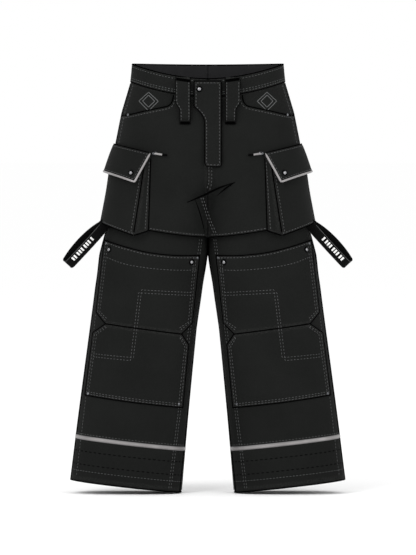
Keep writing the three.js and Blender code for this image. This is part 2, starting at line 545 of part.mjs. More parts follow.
const PULL_CLEAR = 3.3; // the pull swings this far in front of the front cloth
const pullShape = new THREE.Shape();
pullShape.absarc(0, 0, PULL_WIDTH / 2, 0, Math.PI);
pullShape.lineTo(-PULL_WIDTH / 2 + 0.6, -PULL_LENGTH + PULL_WIDTH / 2);
pullShape.lineTo(PULL_WIDTH / 2 - 0.6, -PULL_LENGTH + PULL_WIDTH / 2);
const pullHole = turned(
  [[0, -3], [POST_R + GAP, -3], [POST_R + GAP, 3], [0, 3]], new THREE.Vector3(0, 0, 0), FORWARD, 10);
middles.fly_zip_pull = placeZip(moved(
  prism(pullShape, -PULL_THICK, 0).subtract(pullHole), shift(0, -ZIP_SINK - PULL_CLEAR, postZ)));

// ---- the cargo pocket's zip slider and its pull, at the flap's front corner ----
const CARGO_ZIP = [-131, -219];
const CARGO_PULL = 33;
const PIN_OUT = 5; // the pin's distance from the slider's foot
const zipPlace = onFront(SHORTS_LEVELS, 0, ...CARGO_ZIP);
// Drawn with the foot at y = 0 and the pin along Z, then turned to lie on the cloth.
const zipFoot = zipPlace.at.clone().addScaledVector(zipPlace.normal, 2 * GAP);
const cargoZipFrame = shift(zipFoot.x, zipFoot.y, zipFoot.z)
  .multiply(turnZ(Math.atan2(zipPlace.normal.x, -zipPlace.normal.y)))
  .multiply(turnX(-Math.asin(zipPlace.normal.z)));
const placeCargoZip = (manifold) => moved(manifold, cargoZipFrame);
const UPWARD = new THREE.Vector3(0, 0, 1);
const lug = (z) => block([-2, -PIN_OUT - 1.6, z - 0.6], [2, -1.5, z + 0.6]);
pieces.cargo_zip_slider = placeCargoZip(block([-6, -2, -3.6], [5, 0, 3.6]).add(lug(2.9)).add(lug(-2.9))
  .add(turned([[0, 0], [0.8, 0], [0.8, 6], [0, 6]], new THREE.Vector3(0, -PIN_OUT, -3), UPWARD, 8)));
// The pull is a tab with an eye round the slider's pin; it lies towards the middle of the front.
const pinEye = turned(
  [[0, -1.8], [2.4, -1.8], [2.4, 1.8], [0, 1.8]], new THREE.Vector3(0, -PIN_OUT, 0), UPWARD, 12)
  .add(block([1.5, -PIN_OUT - 0.8, -1.8], [8, -PIN_OUT + 0.8, 1.8]))
  .subtract(turned([[0, -3], [1.2, -3], [1.2, 3], [0, 3]], new THREE.Vector3(0, -PIN_OUT, 0), UPWARD, 8));
pieces.cargo_zip_pull = placeCargoZip(
  pinEye.add(block([7, -PIN_OUT - 1.3, -2.6], [CARGO_PULL, -PIN_OUT + 1.3, 2.6])));

// ---- webbing loops that stick out from under the hem at the sides ----
const STRAP_LENGTH = 132;
const STRAP_WIDTH = 28;
const STRAP_THICK = 2;
const STRAP_OPEN = 15; // how far the loop's two runs stand apart
const STRAP_SPLAY = THREE.MathUtils.degToRad(43.5); // out from straight down
const STRAP_TWIST = THREE.MathUtils.degToRad(30); // about its own length, so that the back run shows
const STRAP_TOP = new THREE.Vector3(-259, -38, -400);
// A teardrop run of webbing, drawn hanging down from the sewn end and as thick as the strap is wide.
function strapRun(half, top, low) {
  const shape = new THREE.Shape();
  shape.moveTo(-half * 0.5, top);
  shape.lineTo(half * 0.5, top);
  shape.bezierCurveTo(half, top * 0.7 + low * 0.3, half, low + 30, half, low + half);
  shape.bezierCurveTo(half, low, -half, low, -half, low + half);
  shape.bezierCurveTo(-half, low + 30, -half, top * 0.7 + low * 0.3, -half * 0.5, top);
  const settings = { depth: STRAP_WIDTH * 2, bevelEnabled: false, curveSegments: 6 };
  const geometry = new THREE.ExtrudeGeometry(shape, settings);
  return solid(geometry.translate(0, 0, -STRAP_WIDTH));
}
const strapSlab = block([-FAR, -FAR, -STRAP_WIDTH / 2], [FAR, FAR, STRAP_WIDTH / 2]);
const strapFlat = strapRun(STRAP_OPEN / 2 + STRAP_THICK, 0, -STRAP_LENGTH)
  .subtract(strapRun(STRAP_OPEN / 2, -STRAP_THICK, STRAP_THICK - STRAP_LENGTH))
  .intersect(strapSlab);
// The run hangs down -Z with its width across X, then splays outwards about the sewn end.
pieces.strap_loop = moved(strapFlat, shift(STRAP_TOP.x, STRAP_TOP.y, STRAP_TOP.z)
  .multiply(turnY(STRAP_SPLAY))
  .multiply(turnZ(STRAP_TWIST + Math.PI / 2))
  .multiply(turnX(Math.PI / 2)));

// ---- legs: thigh and shin tubes, the sleeve at the back of the knee, patches and the reflective band ----
const legCloth = shell(LEG_LEVELS, -CLOTH, 0);
const kneeMiddle = new THREE.Vector3(LEG_MIDDLE(KNEE_Z), -15, KNEE_Z);
const KNEE_CLEAR = 0.5;
// The wedge behind the knee's axis that the bend closes.
function kneeWedge(grow) {
  const half = KNEE_BEND / 2 + THREE.MathUtils.degToRad(2);
  const reach = FAR;
  const rise = Math.tan(half) * reach + grow;
  const ring = [[-grow, grow], [reach, rise], [reach, -rise], [-grow, -grow]];
  const shape = new THREE.Shape(ring.map(([y, z]) => new THREE.Vector2(y, z)));
  const geometry = new THREE.ExtrudeGeometry(shape, { depth: 2 * reach, bevelEnabled: false });
  geometry.translate(0, 0, -reach).applyMatrix4(new THREE.Matrix4().makeBasis(
    new THREE.Vector3(0, 1, 0), new THREE.Vector3(0, 0, 1), new THREE.Vector3(1, 0, 0)));
  return solid(geometry.rotateY(LEG_TILT).translate(kneeMiddle.x, kneeMiddle.y, kneeMiddle.z));
}
const aboveKnee = (lift) => [
  [SIDE_X, kneeAt(SIDE_X) + lift], [20, kneeAt(20) + lift], [20, LEG_TOP_Z], [SIDE_X, LEG_TOP_Z]];
const belowKnee = (drop) => [
  [SIDE_X, kneeAt(SIDE_X) - drop], [20, kneeAt(20) - drop],
  [20, legHemAt(20)], [SIDE_X, legHemAt(SIDE_X)]];
const wedgeOut = kneeWedge(KNEE_CLEAR);
pieces.thigh_tube = cut(legCloth, aboveKnee(KNEE_CLEAR)).subtract(wedgeOut);
pieces.shin_tube = cut(legCloth, belowKnee(KNEE_CLEAR)).subtract(wedgeOut);
pieces.knee_back_sleeve = legCloth
  .intersect(kneeWedge(0)).intersect(block([-FAR, kneeMiddle.y + 2, -900], [0, FAR, -400]));

const PATCH_IN = 0.5;
const patchCloth = shell(LEG_LEVELS, PATCH_IN, PATCH_IN + CLOTH);
const PATCH_INSET = 10; // the patch's outer edge, in from the leg's side
const PATCH_STRIP = 24; // the inseam strip that stays bare
const legSide = (z) => -sectionAt(LEG_LEVELS, z).w + sectionAt(LEG_LEVELS, z).x;
const legInseam = (z) => sectionAt(LEG_LEVELS, z).w + sectionAt(LEG_LEVELS, z).x;
const NOTCH = 24; // the chamfer beside the knee seam
const PATCH_LOW_Z = -835;
const upperOuter = (z) => [legSide(z) + PATCH_INSET, z];
const upperInner = (z) => [legInseam(z) - PATCH_STRIP, z];
const patchTop = new THREE.QuadraticBezierCurve(
  new THREE.Vector2(legSide(-436) + 8, -436), new THREE.Vector2(-160, -474),
  new THREE.Vector2(legInseam(-470) - 20, -470));
const seamOuter = legSide(KNEE_Z) + PATCH_INSET + NOTCH + 6;
const seamInner = legInseam(KNEE_Z) - PATCH_STRIP - NOTCH + 6;
pieces.knee_patch_upper = cut(patchCloth, [
  ...patchTop.getPoints(6).map((p) => [p.x, p.y]),
  upperInner(kneeAt(seamInner) + NOTCH + 2),
  [seamInner, kneeAt(seamInner) + 1],
  [seamOuter, kneeAt(seamOuter) + 1],
  upperOuter(kneeAt(seamOuter) + NOTCH + 2),
], -FAR, 0);
const lowInner = upperInner(PATCH_LOW_Z - 14);
const lowOuter = upperOuter(PATCH_LOW_Z + 16);
pieces.knee_patch_lower = cut(patchCloth, [
  [seamOuter, kneeAt(seamOuter) - 1],
  [seamInner, kneeAt(seamInner) - 1],
  upperInner(kneeAt(seamInner) - NOTCH - 2),
  lowInner,
  lowOuter,
  upperOuter(kneeAt(seamOuter) - NOTCH + 2),
], -FAR, 0);

const patchOut = PATCH_IN + CLOTH;
pieces.knee_snap_outer = capOn(LEG_LEVELS, patchOut, -244, -456);
pieces.knee_snap_inner = capOn(LEG_LEVELS, patchOut, -40, -487);

const BAND_WIDTH = 10;
const BAND_RISE = 110; // the reflective band's middle above the hem
const bandCloth = shell(LEG_LEVELS, PATCH_IN, PATCH_IN + 0.9);
const across = (rise) => [[SIDE_X, legHemAt(SIDE_X) + rise], [20, legHemAt(20) + rise]];
pieces.reflective_band = cut(bandCloth, [
  ...across(BAND_RISE + BAND_WIDTH / 2), ...across(BAND_RISE - BAND_WIDTH / 2).reverse(),
]);

// ---- finishes ----
const CLOTH_FINISH = { color: 0x212221, roughness: 0.9, metalness: 0 };
const LINING_FINISH = { color: 0x1c1d1c, roughness: 0.95, metalness: 0 };
const WEBBING_FINISH = { color: 0x050505, roughness: 0.7, metalness: 0 };
const METAL_FINISH = { color: 0x8a8a8c, roughness: 0.35, metalness: 0.9 };
const REFLECTIVE_FINISH = { color: 0xa09c9f, roughness: 0.4, metalness: 0.2 };
const finishes = {
  hand_pocket_bag: LINING_FINISH,
  waistband_facing: LINING_FINISH,
  strap_loop: WEBBING_FINISH,
  fly_zip_tape: WEBBING_FINISH,
  flap_piping: REFLECTIVE_FINISH,
  reflective_band: REFLECTIVE_FINISH,
  cargo_zip_pull: REFLECTIVE_FINISH,
  flap_snap_cap: METAL_FINISH,
  cargo_snap_stud: METAL_FINISH,
  fly_snap_cap: METAL_FINISH,
  fly_snap_stud: METAL_FINISH,
  knee_snap_outer: METAL_FINISH,
  knee_snap_inner: METAL_FINISH,
  fly_zip_chain: METAL_FINISH,
  fly_zip_slider: METAL_FINISH,
  fly_zip_pull: METAL_FINISH,
  cargo_zip_slider: METAL_FINISH,
};

// ---- the moving groups, each placed at the point it turns about ----
const zipPoint = (x, y, z) => new THREE.Vector3(x, y, z).applyMatrix4(zipFrame);
const pinPoint = new THREE.Vector3(0, -PIN_OUT, 0).applyMatrix4(cargoZipFrame);
const shieldY = (z) => frontY(SHORTS_LEVELS, SHIELD_STAND + CLOTH / 2, SHIELD_RIGHT, z);
const SHIELD_MIDDLE_Z = (SHIELD_TOP_Z + SHIELD_LOW_Z) / 2;
const HIP = new THREE.Vector3(sectionAt(LEG_LEVELS, LEG_TOP_Z).x, 0, SHORTS_HEM_Z + 1);
const FLAP_PIVOT = new THREE.Vector3(-HIP_HALF + 13, -58, (FLAP_TOP_Z * 2 - FLAP_FALL) / 2 + 7);
const groupPlans = {
  fly_shield: {
    at: new THREE.Vector3(SHIELD_RIGHT, shieldY(SHIELD_MIDDLE_Z), SHIELD_MIDDLE_Z),
    holds: ["fly_shield", "fly_snap_cap"],
  },
  fly_zip_slider: { at: zipPoint(0, 0, 0), holds: ["fly_zip_slider"] },
  fly_zip_pull: {
    at: zipPoint(0, -ZIP_SINK - PULL_CLEAR, postZ), holds: ["fly_zip_pull"], inside: "fly_zip_slider",
  },
};
const sidedPlans = {
  thigh: {
    at: HIP,
    holds: ["thigh_tube", "knee_back_sleeve", "knee_patch_upper", "knee_snap_outer", "knee_snap_inner"],
  },
  shin: { at: kneeMiddle, holds: ["shin_tube", "knee_patch_lower", "reflective_band"], inside: "thigh" },
  cargo_flap: { at: FLAP_PIVOT, holds: ["cargo_flap", "flap_piping", "flap_snap_cap"] },
  cargo_zip_pull: { at: pinPoint, holds: ["cargo_zip_pull"] },
  webbing_loop: { at: STRAP_TOP, holds: ["strap_loop"] },
};

const trousers = new THREE.Group();
const groupOf = {}; // node name -> its group and that group's place
const groups = {};
function addGroup(name, at, nodes, inside) {
  const parent = inside ? groups[inside] : { group: trousers, at: new THREE.Vector3() };
  const group = new THREE.Group();
  group.position.copy(at).sub(parent.at);
  parent.group.add(group);
  groups[name] = { group, at };
  for (const node of nodes) groupOf[node] = groups[name];
}
for (const [name, plan] of Object.entries(groupPlans)) addGroup(name, plan.at, plan.holds, plan.inside);
for (const [side, flip] of [["right", 1], ["left", -1]]) {
  for (const [name, plan] of Object.entries(sidedPlans)) {
    const at = new THREE.Vector3(plan.at.x * flip, plan.at.y, plan.at.z);
    const held = plan.holds.map((kind) => `${kind}_${side}`);
    addGroup(`${name}_${side}`, at, held, plan.inside && `${plan.inside}_${side}`);
  }
}

function addNode(name, kind, manifold) {
  const home = groupOf[name] ?? { group: trousers, at: new THREE.Vector3() };
  const geometry = geometryOf(manifold).translate(-home.at.x, -home.at.y, -home.at.z);
  const mesh = new THREE.Mesh(geometry, new THREE.MeshStandardMaterial(finishes[kind] ?? CLOTH_FINISH));
  mesh.name = name;
  home.group.add(mesh);
}
for (const [kind, manifold] of Object.entries(middles)) addNode(kind, kind, manifold.simplify(FINENESS));
for (const [kind, manifold] of Object.entries(pieces)) {
  const right = manifold.simplify(FINENESS);
  addNode(`${kind}_right`, kind, right);
  addNode(`${kind}_left`, kind, mirrored(right));
}

export default trousers;
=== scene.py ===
"""Looks for a pair of two-layer bunker trousers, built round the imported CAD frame.

Lengths in this file are millimetres until a mesh is made. The wearer's right side is x < 0;
the left side is its mirror image. An outer layer (OUTER) carries the short panels and pockets,
and a leg layer (LEGS) carries what hangs from under it.
"""

import math

import bpy
import numpy as np
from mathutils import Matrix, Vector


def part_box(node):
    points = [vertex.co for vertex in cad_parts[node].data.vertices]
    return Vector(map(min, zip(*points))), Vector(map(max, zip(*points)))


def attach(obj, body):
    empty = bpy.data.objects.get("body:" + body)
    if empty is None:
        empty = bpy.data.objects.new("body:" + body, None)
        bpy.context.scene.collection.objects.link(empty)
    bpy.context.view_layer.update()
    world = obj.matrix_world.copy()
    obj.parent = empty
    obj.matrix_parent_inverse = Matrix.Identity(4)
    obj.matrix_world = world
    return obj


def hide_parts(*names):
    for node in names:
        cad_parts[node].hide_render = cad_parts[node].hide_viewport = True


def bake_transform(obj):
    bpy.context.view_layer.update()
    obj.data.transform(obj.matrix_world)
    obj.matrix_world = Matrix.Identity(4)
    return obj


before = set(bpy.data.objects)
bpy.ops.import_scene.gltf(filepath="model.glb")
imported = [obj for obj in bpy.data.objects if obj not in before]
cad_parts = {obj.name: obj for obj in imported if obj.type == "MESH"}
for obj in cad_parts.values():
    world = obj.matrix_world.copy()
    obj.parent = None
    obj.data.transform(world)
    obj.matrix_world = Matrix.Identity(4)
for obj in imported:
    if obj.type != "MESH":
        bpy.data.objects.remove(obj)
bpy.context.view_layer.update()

MM = 0.001
SIDES = {"right": 1.0, "left": -1.0}

# ---- camera: a long lens, level with the hips, so that both hems look flat ----
LENS = 500.0
SENSOR = 36.0
VIEW_HEIGHT = 1.376  # metres from the top to the bottom of the picture
AIM = (0.0005, 0.0, -0.5285)
ELEVATION = math.radians(2.0)

camera_data = bpy.data.cameras.new("camera")
camera_data.lens = LENS
camera_data.sensor_width = SENSOR
camera_data.clip_end = 60.0
camera = bpy.data.objects.new("camera", camera_data)
bpy.context.scene.collection.objects.link(camera)
reach = VIEW_HEIGHT * LENS / SENSOR
camera.location = (AIM[0], -reach * math.cos(ELEVATION), AIM[2] + reach * math.sin(ELEVATION))
camera.rotation_euler = (math.pi / 2 - ELEVATION, 0.0, 0.0)
bpy.context.scene.camera = camera

# ---- sections of the two layers: level, outer reach, reach past the middle, half depth, shift ----
OUTER_TABLE = [
    [60, 186, 186, 104, 0], [0, 186, 186, 104, 0], [-43, 190, 179, 108, 1],
    [-120, 213, 167, 119, 6], [-200, 229, 123, 126, 9], [-270, 235, 66, 124, 8],
    [-310, 238, 30, 119, 5], [-330, 240, 16, 116, 4], [-421, 250, 14, 110, 0],
    [-500, 253, 14, 110, 0],
]
LEG_TABLE = [
    [-358, 230, -6, 100, 0], [-378, 234, -6, 100, 0], [-400, 247, -2, 99, 0],
    [-421, 255, -0.4, 98, 0], [-470, 268, -0.4, 97, 0], [-654, 292, -27, 93, 0], [-1060, 346, -68, 86, 0],
    [-1120, 354, -74, 85, 0],
]
ROUND = 2.4  # power of the rounded section
MIDDLE_LAP = 1.2  # the two halves of the outer layer run this far past the middle
FRONT_DIP = 35.0
BACK_DIP = 3.0
WAIST_HALF = 186.0
BAND = 43.0
HEM_Z = -427.0
SIDE_HEM_Z = -389.0
HEM_HALF = 250.0
LEG_TILT = math.radians(6.6)
KNEE_Z = -654.0
LEG_HEM_Z = -1045.0


def section_lookup(table):
    levels = np.array(table, float)[::-1]
    return lambda z: [np.interp(z, levels[:, 0], levels[:, k]) for k in range(1, 5)]


def front_y(table, offset, x, z):
    """The layer's front surface over a point of the front view."""
    outer, past, depth, shift = section_lookup(table)(z)
    middle = (past - outer) / 2
    half = (past + outer) / 2 + offset
    across = np.minimum(0.9999, np.abs((-np.abs(x) - middle) / half))
    return shift - (depth + offset) * (1 - across**ROUND) ** (1 / ROUND)


def smooth(t):
    t = np.clip(t, 0.0, 1.0)
    return t * t * (3 - 2 * t)


def unit(vectors):
    return vectors / np.maximum(1e-9, np.linalg.norm(vectors, axis=-1, keepdims=True))


def run_of(points):
    """How far along a line each of its points is."""
    return np.concatenate([[0], np.cumsum(np.linalg.norm(np.diff(points, axis=0), axis=1))])


def middle_of(table, z):
    outer, past, _, _ = section_lookup(table)(z)
    return (past - outer) / 2


def band_top(x, dip):
    return -dip * (1 - np.minimum(1, np.abs(x) / WAIST_HALF) ** 1.9)


def band_seam(x, dip):
    return -BAND - dip * (1 - np.minimum(1, np.abs(x) / (WAIST_HALF + 4)) ** 1.9)


def hem_at(x, *rest):
    return HEM_Z + (SIDE_HEM_Z - HEM_Z) * np.minimum(1, np.abs(x) / HEM_HALF) ** 1.4


def sloped(level, x):
    """A line square to the leg that meets the leg's middle at a level."""
    return level - math.tan(LEG_TILT) * (x - middle_of(LEG_TABLE, level))


class Layer:
    """One side's cloth surface: q runs from the front middle round the side to the back middle."""

    STEP = 2.0
    COLUMNS = 240
    ANGLES = 720
    SOFTEN = 9  # levels that a corner of the table is softened over

    def __init__(self, table, top, low, folds):
        self.table = table
        self.top = top
        self.z = np.arange(top, low - 1, -self.STEP)
        outer, past, depth, shift = section_lookup(table)(self.z)
        kernel = np.hanning(self.SOFTEN + 2)[1:-1]
        kernel /= kernel.sum()

        def soften(v):
            return np.convolve(np.pad(v, self.SOFTEN // 2, mode="edge"), kernel, mode="valid")

        outer, past, depth, shift = [soften(v) for v in (outer, past, depth, shift)]
        rows = []
        self.side_q = np.zeros(len(self.z))
        for k in range(len(self.z)):
            middle = (past[k] - outer[k]) / 2
            half = (past[k] + outer[k]) / 2
            start = 0.0
            if past[k] > 0:
                start = math.acos(min(1.0, (-middle / half) ** (ROUND / 2)))
            angle = np.linspace(start, 2 * math.pi - start, self.ANGLES + 1)
            c, s = np.cos(angle), np.sin(angle)
            x = middle + half * np.sign(c) * np.abs(c) ** (2 / ROUND)
            y = shift[k] - depth[k] * np.sign(s) * np.abs(s) ** (2 / ROUND)
            run = run_of(np.stack([x, y], 1))
            even = np.linspace(0, run[-1], self.COLUMNS + 1)
            rows.append(np.stack([np.interp(even, run, x), np.interp(even, run, y)], 1))
            self.side_q[k] = run[self.ANGLES // 2] / run[-1]
        flat = np.array(rows)
        self.round = np.hypot(*np.diff(flat, axis=1).transpose(2, 0, 1)).sum(1)
        heights = np.repeat(self.z[:, None], self.COLUMNS + 1, 1)
        self.points = np.dstack([flat, heights])
        self.closed = past <= 0
        self.normals = self.slopes()
        if folds is not None:
            q = np.linspace(0, 1, self.COLUMNS + 1)[None, :]
            lift = folds(q, heights, flat[:, :, 0], flat[:, :, 1])
            self.points = self.points + self.normals * lift[:, :, None]
            self.normals = self.slopes()
        self.points[~self.closed, 0, 0] = MIDDLE_LAP
        self.points[~self.closed, -1, 0] = MIDDLE_LAP

    def slopes(self):
        p = self.points
        across = np.gradient(p, axis=1)
        if self.closed.all():
            across[:, 0] = across[:, -1] = p[:, 1] - p[:, -2]
        n = unit(np.cross(across, np.gradient(p, axis=0)))
        outward = np.where(n[:, self.COLUMNS // 2, 0] > 0, -1.0, 1.0)
        return n * outward[:, None, None]

    def look(self, grid, q, z):
        """A value of the layer's grid between its nodes."""
        row = np.clip((self.top - z) / self.STEP, 0, len(self.z) - 1.001)
        col = np.minimum(np.clip(q, 0, 1) * self.COLUMNS, self.COLUMNS - 1e-6)
        r0, c0 = row.astype(int), col.astype(int)
        fr, fc = (row - r0), (col - c0)
        if grid.ndim == 3:
            fr, fc = fr[..., None], fc[..., None]
        above = grid[r0, c0] * (1 - fc) + grid[r0, c0 + 1] * fc
        below = grid[r0 + 1, c0] * (1 - fc) + grid[r0 + 1, c0 + 1] * fc
        return above * (1 - fr) + below * fr

    def at(self, q, z, offset=0.0):
        q, z = np.broadcast_arrays(np.asarray(q, float), np.asarray(z, float))
        n = unit(self.look(self.normals, q, z))
        return self.look(self.points, q, z) + n * np.asarray(offset)[..., None], n

    def side(self, z):
        return np.interp(-np.asarray(z, float), -self.z, self.side_q)

    def q_at(self, x, z, back=False, offset=0.0):
        """The column under a point of the front view, or of the back view, on cloth moved out by offset."""
        x, z, offset = np.broadcast_arrays(*[np.asarray(v, float) for v in (x, z, offset)])
        out = np.zeros(x.shape)
        qs = np.linspace(0, 1, self.COLUMNS + 1)
        for place in np.ndindex(x.shape):
            row = min(len(self.z) - 1, max(0, int(round((self.top - z[place]) / self.STEP))))
            xs = self.points[row, :, 0] + self.normals[row, :, 0] * offset[place]
            turn = int(np.argmin(xs))
            if back:
                out[place] = np.interp(x[place], xs[turn:], qs[turn:])
            else:
                out[place] = np.interp(-x[place], -xs[: turn + 1], qs[: turn + 1])
        return out


# ---- gentle folds, all from fixed waves ----
def outer_folds(q, z, x, y):
    low = smooth((-z - 170) / 240)
    hang = np.sin(q * 23 + z * 0.006 + 0.8) * 0.9 + np.sin(q * 41 - z * 0.011 + 2.1) * 0.5
    crotch = smooth(1 - np.hypot(x + 30, z + 318) / 120)
    drag = np.sin((z + 0.9 * x) * 0.13) * 1.0 * crotch * (y < 0)
    seat = smooth(1 - np.hypot(x + 70, z + 330) / 130) * (y > 0)
    return hang * low + drag + np.sin((z - 0.5 * x) * 0.085) * 1.8 * seat


def leg_folds(q, z, x, y):
    low = smooth((-z - 430) / 150)
    hang = np.sin(q * 4 * math.pi + z * 0.004 + 0.6) * 1.0 + np.sin(q * 10 * math.pi - z * 0.007) * 0.5
    hem = smooth((-z - 860) / 200)
    flare = np.sin(q * 6 * math.pi + 1.1) * 1.5 * hem
    knee = np.exp(-(((z + 665) / 85) ** 2)) * (y > 0) * np.minimum(1, np.abs(y) / 50)
    creases = np.sin(z * 0.105 + np.sin(q * 13) * 1.4) * 2.4 * knee
    drag = np.sin(z * 0.06 + x * 0.03) * 0.7 * np.exp(-(((z + 500) / 60) ** 2))
    return (hang + drag) * low + flare + creases


OUTER = Layer(OUTER_TABLE, 8.0, -452.0, outer_folds)
LEGS = Layer(LEG_TABLE, -360.0, -1110.0, leg_folds)


# ---- meshes ----
class Cloth:
    """Points, faces, flat coordinates and a per-point value of one piece of the right side: real edge wear
    on cloth, the painted glow fade on the reflective band.
    """

    def __init__(self):
        self.v, self.f, self.uv, self.wear_and_glow_fade = [], [], [], []
        self.count = 0

    def add(self, points, faces, uv=None, wear_and_glow_fade=None):
        points = np.asarray(points, float).reshape(-1, 3)
        self.v.append(points)
        self.f.extend([[i + self.count for i in face] for face in faces])
        self.uv.append(np.zeros((len(points), 2)) if uv is None else np.asarray(uv).reshape(-1, 2))
        self.wear_and_glow_fade.append(np.zeros(len(points)) if wear_and_glow_fade is None else np.asarray(wear_and_glow_fade).ravel())
        self.count += len(points)
        return self

    def join(self, other, mirror=False):
        points = np.vstack(other.v) * ([-1, 1, 1] if mirror else [1, 1, 1])
        faces = [face[::-1] for face in other.f] if mirror else other.f
        return self.add(points, faces, np.vstack(other.uv), np.concatenate(other.wear_and_glow_fade))


def link(name, cloth, material, mirror=False):
    """Makes the mesh object of a piece, mirrored for the left side."""
    points = np.vstack(cloth.v) * MM
    faces = cloth.f
    if mirror:
        points = points * [-1, 1, 1]
        faces = [face[::-1] for face in faces]
    mesh = bpy.data.meshes.new(name)
    mesh.from_pydata(points.tolist(), [], faces)
    uv = np.vstack(cloth.uv)
    corners = np.zeros(len(mesh.loops), dtype=np.int32)
    mesh.loops.foreach_get("vertex_index", corners)
    layer = mesh.uv_layers.new(name="UVMap")
    layer.data.foreach_set("uv", (uv[corners] * MM).ravel())
    # the point attribute holds real edge wear on cloth, and on the reflective band the fade of its painted
    # glow
    wear_and_glow_fade = mesh.attributes.new("wear_and_glow_fade", "FLOAT", "POINT")
    wear_and_glow_fade.data.foreach_set("value", np.concatenate(cloth.wear_and_glow_fade))
    mesh.polygons.foreach_set("use_smooth", [True] * len(mesh.polygons))
    mesh.materials.append(material)
    mesh.validate()
    mesh.update()
    label = f"{name}_look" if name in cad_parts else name
    piece = bpy.data.objects.new(label, mesh)
    bpy.context.scene.collection.objects.link(piece)
    return piece


def place(piece, body, side, slot, nodes):
    """Puts a piece on its body, or bakes a leg piece's place into its mesh, and hides the CAD nodes it
    replaces.
    """
    if body == "leg":
        across = middle_of(LEG_TABLE, KNEE_Z) * SIDES[side] * MM
        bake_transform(piece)
    else:
        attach(piece, body if body in ("trousers", "fly_shield") else f"{body}_{side}")
    hidden = [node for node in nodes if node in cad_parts]
    if hidden:
        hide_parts(*hidden)


# Each cloth piece: how it is held, what it hangs from or lies on, its flat width and length in metres,
# and the area of its cut in square metres.
CUTS = {
    "front_panel": ("hung", "waistband", 0.330, 0.356, 0.0950),
    "back_panel": ("hung", "back_yoke", 0.400, 0.345, 0.0975),
    "back_yoke": ("hung", "waistband", 0.440, 0.069, 0.0286),
    "waistband": ("stretched", "waistband_facing", 0.930, 0.050, None),
    "waistband_facing": ("stretched", "waistband", 0.930, 0.046, None),
    "pocket_facing": ("laid", "hand_pocket_bag", 0.210, 0.097, 0.0144),
    "hand_pocket_bag": ("hung", "waistband", 0.156, 0.187, 0.0249),
    "back_pocket": ("laid", "back_panel", 0.178, 0.138, 0.0155),
    "front_belt_loop": ("folded", "front_panel", 0.037, 0.118, None),
    "back_belt_loop": ("folded", "waistband", 0.026, 0.074, None),
    "back_belt_loop_middle": ("folded", "waistband", 0.026, 0.072, None),
    "fly_shield": ("hung", "waistband", 0.068, 0.212, 0.0113),
    "fly_zip_tape": ("laid", "front_panel", 0.032, 0.132, None),
    "cargo_face": ("laid", "front_panel", 0.202, 0.210, 0.0356),
    "cargo_gusset": ("folded", "front_panel", 0.500, 0.025, 0.0109),
    "cargo_flap": ("hung", "front_panel", 0.195, 0.095, 0.0155),
    "leg_tube": ("hung", "front_panel", 0.750, 0.690, 0.4970),
    "knee_patch_upper": ("laid", "thigh_tube", 0.279, 0.231, 0.0514),
    "knee_patch_lower": ("laid", "shin_tube", 0.266, 0.209, 0.0480),
    "reflective_band": ("laid", "shin_tube", 0.742, 0.011, None),
    "strap_loop": ("folded", "front_panel", 0.310, 0.028, None),
}


def declare(name):
    """Looks a piece up in CUTS, and does nothing more."""
    if name not in CUTS:
        return


def pair(name, cloth, material, body="trousers", slot="outer_cloth", nodes=None):
    """The right piece and its mirror image. They stand for the CAD nodes of their name, or for nodes."""
    for side, sign in SIDES.items():
        piece = link(f"{name}_{side}", cloth, material, mirror=sign < 0)
        place(piece, body, side, slot, [f"{node}_{side}" for node in nodes or [name]])
        declare(name)


def single(name, cloth, material, body="trousers", slot="outer_cloth"):
    """A piece that the two sides share. It stands for the CAD node of its name."""
    piece = link(name, cloth, material)
    place(piece, body, None, slot, [name])
    declare(name)


def grid_faces(rows, columns, start=0, flip=False):
    faces = []
    for r in range(rows - 1):
        for c in range(columns - 1):
            a = start + r * columns + c
            face = [a, a + columns, a + columns + 1, a + 1]
            faces.append(face[::-1] if flip else face)
    return faces


def barrel(rings, sides, flip=False):
    """Faces of a round piece made of rings of points, with a cap at either end."""
    faces = []
    for k in range(rings - 1):
        for j in range(sides):
            i = (j + 1) % sides
            face = [k * sides + j, k * sides + i, (k + 1) * sides + i, (k + 1) * sides + j]
            faces.append([face[0]] + face[:0:-1] if flip else face)
    first = list(range(sides))
    last = [(rings - 1) * sides + j for j in range(sides)]
    return faces + ([first, last[::-1]] if flip else [first[::-1], last])


def slab(points, thick, normals, uv=None, ring=False):
    """A closed sheet: the outer grid, the inner grid, and the rim. Its outer edge is rounded off."""
    p = np.asarray(points, float)
    rows, columns = p.shape[:2]
    across = np.gradient(p, axis=1)
    if ring:
        across[:, 0] = across[:, -1] = p[:, 1] - p[:, -2]
    flip = (unit(np.cross(np.gradient(p, axis=0), across)) * normals).sum() < 0
    if uv is None:
        uv = np.dstack(np.meshgrid(run_of(p[rows // 2]), run_of(p[:, columns // 2])))
    edge = np.zeros((rows, columns))
    edge[0, :] = edge[-1, :] = 1
    if not ring:
        edge[:, 0] = edge[:, -1] = 1
    outer = p - normals * (edge * thick * 0.4)[:, :, None]
    inner = p - normals * thick
    near = np.zeros((rows, columns))
    near[:3, :] = near[-3:, :] = 1
    if not ring:
        near[:, :3] = near[:, -3:] = 1
    cloth = Cloth()
    total = rows * columns
    faces = grid_faces(rows, columns, 0, flip)
    faces += grid_faces(rows, columns, total, not flip)
    rims = [list(range(columns)), [(rows - 1) * columns + c for c in range(columns)]]
    if not ring:
        rims += [[r * columns for r in range(rows)], [r * columns + columns - 1 for r in range(rows)]]
    for k, rim in enumerate(rims):
        turn = (k in (1, 2)) != flip
        for a, b in zip(rim, rim[1:]):
            face = [a, a + total, b + total, b]
            faces.append(face if turn else face[::-1])
    cloth.add(
        np.vstack([outer.reshape(-1, 3), inner.reshape(-1, 3)]), faces,
        np.vstack([uv.reshape(-1, 2)] * 2), np.concatenate([near.ravel(), near.ravel() * 0]),
    )
    return weld_ring(cloth, rows, columns) if ring else cloth


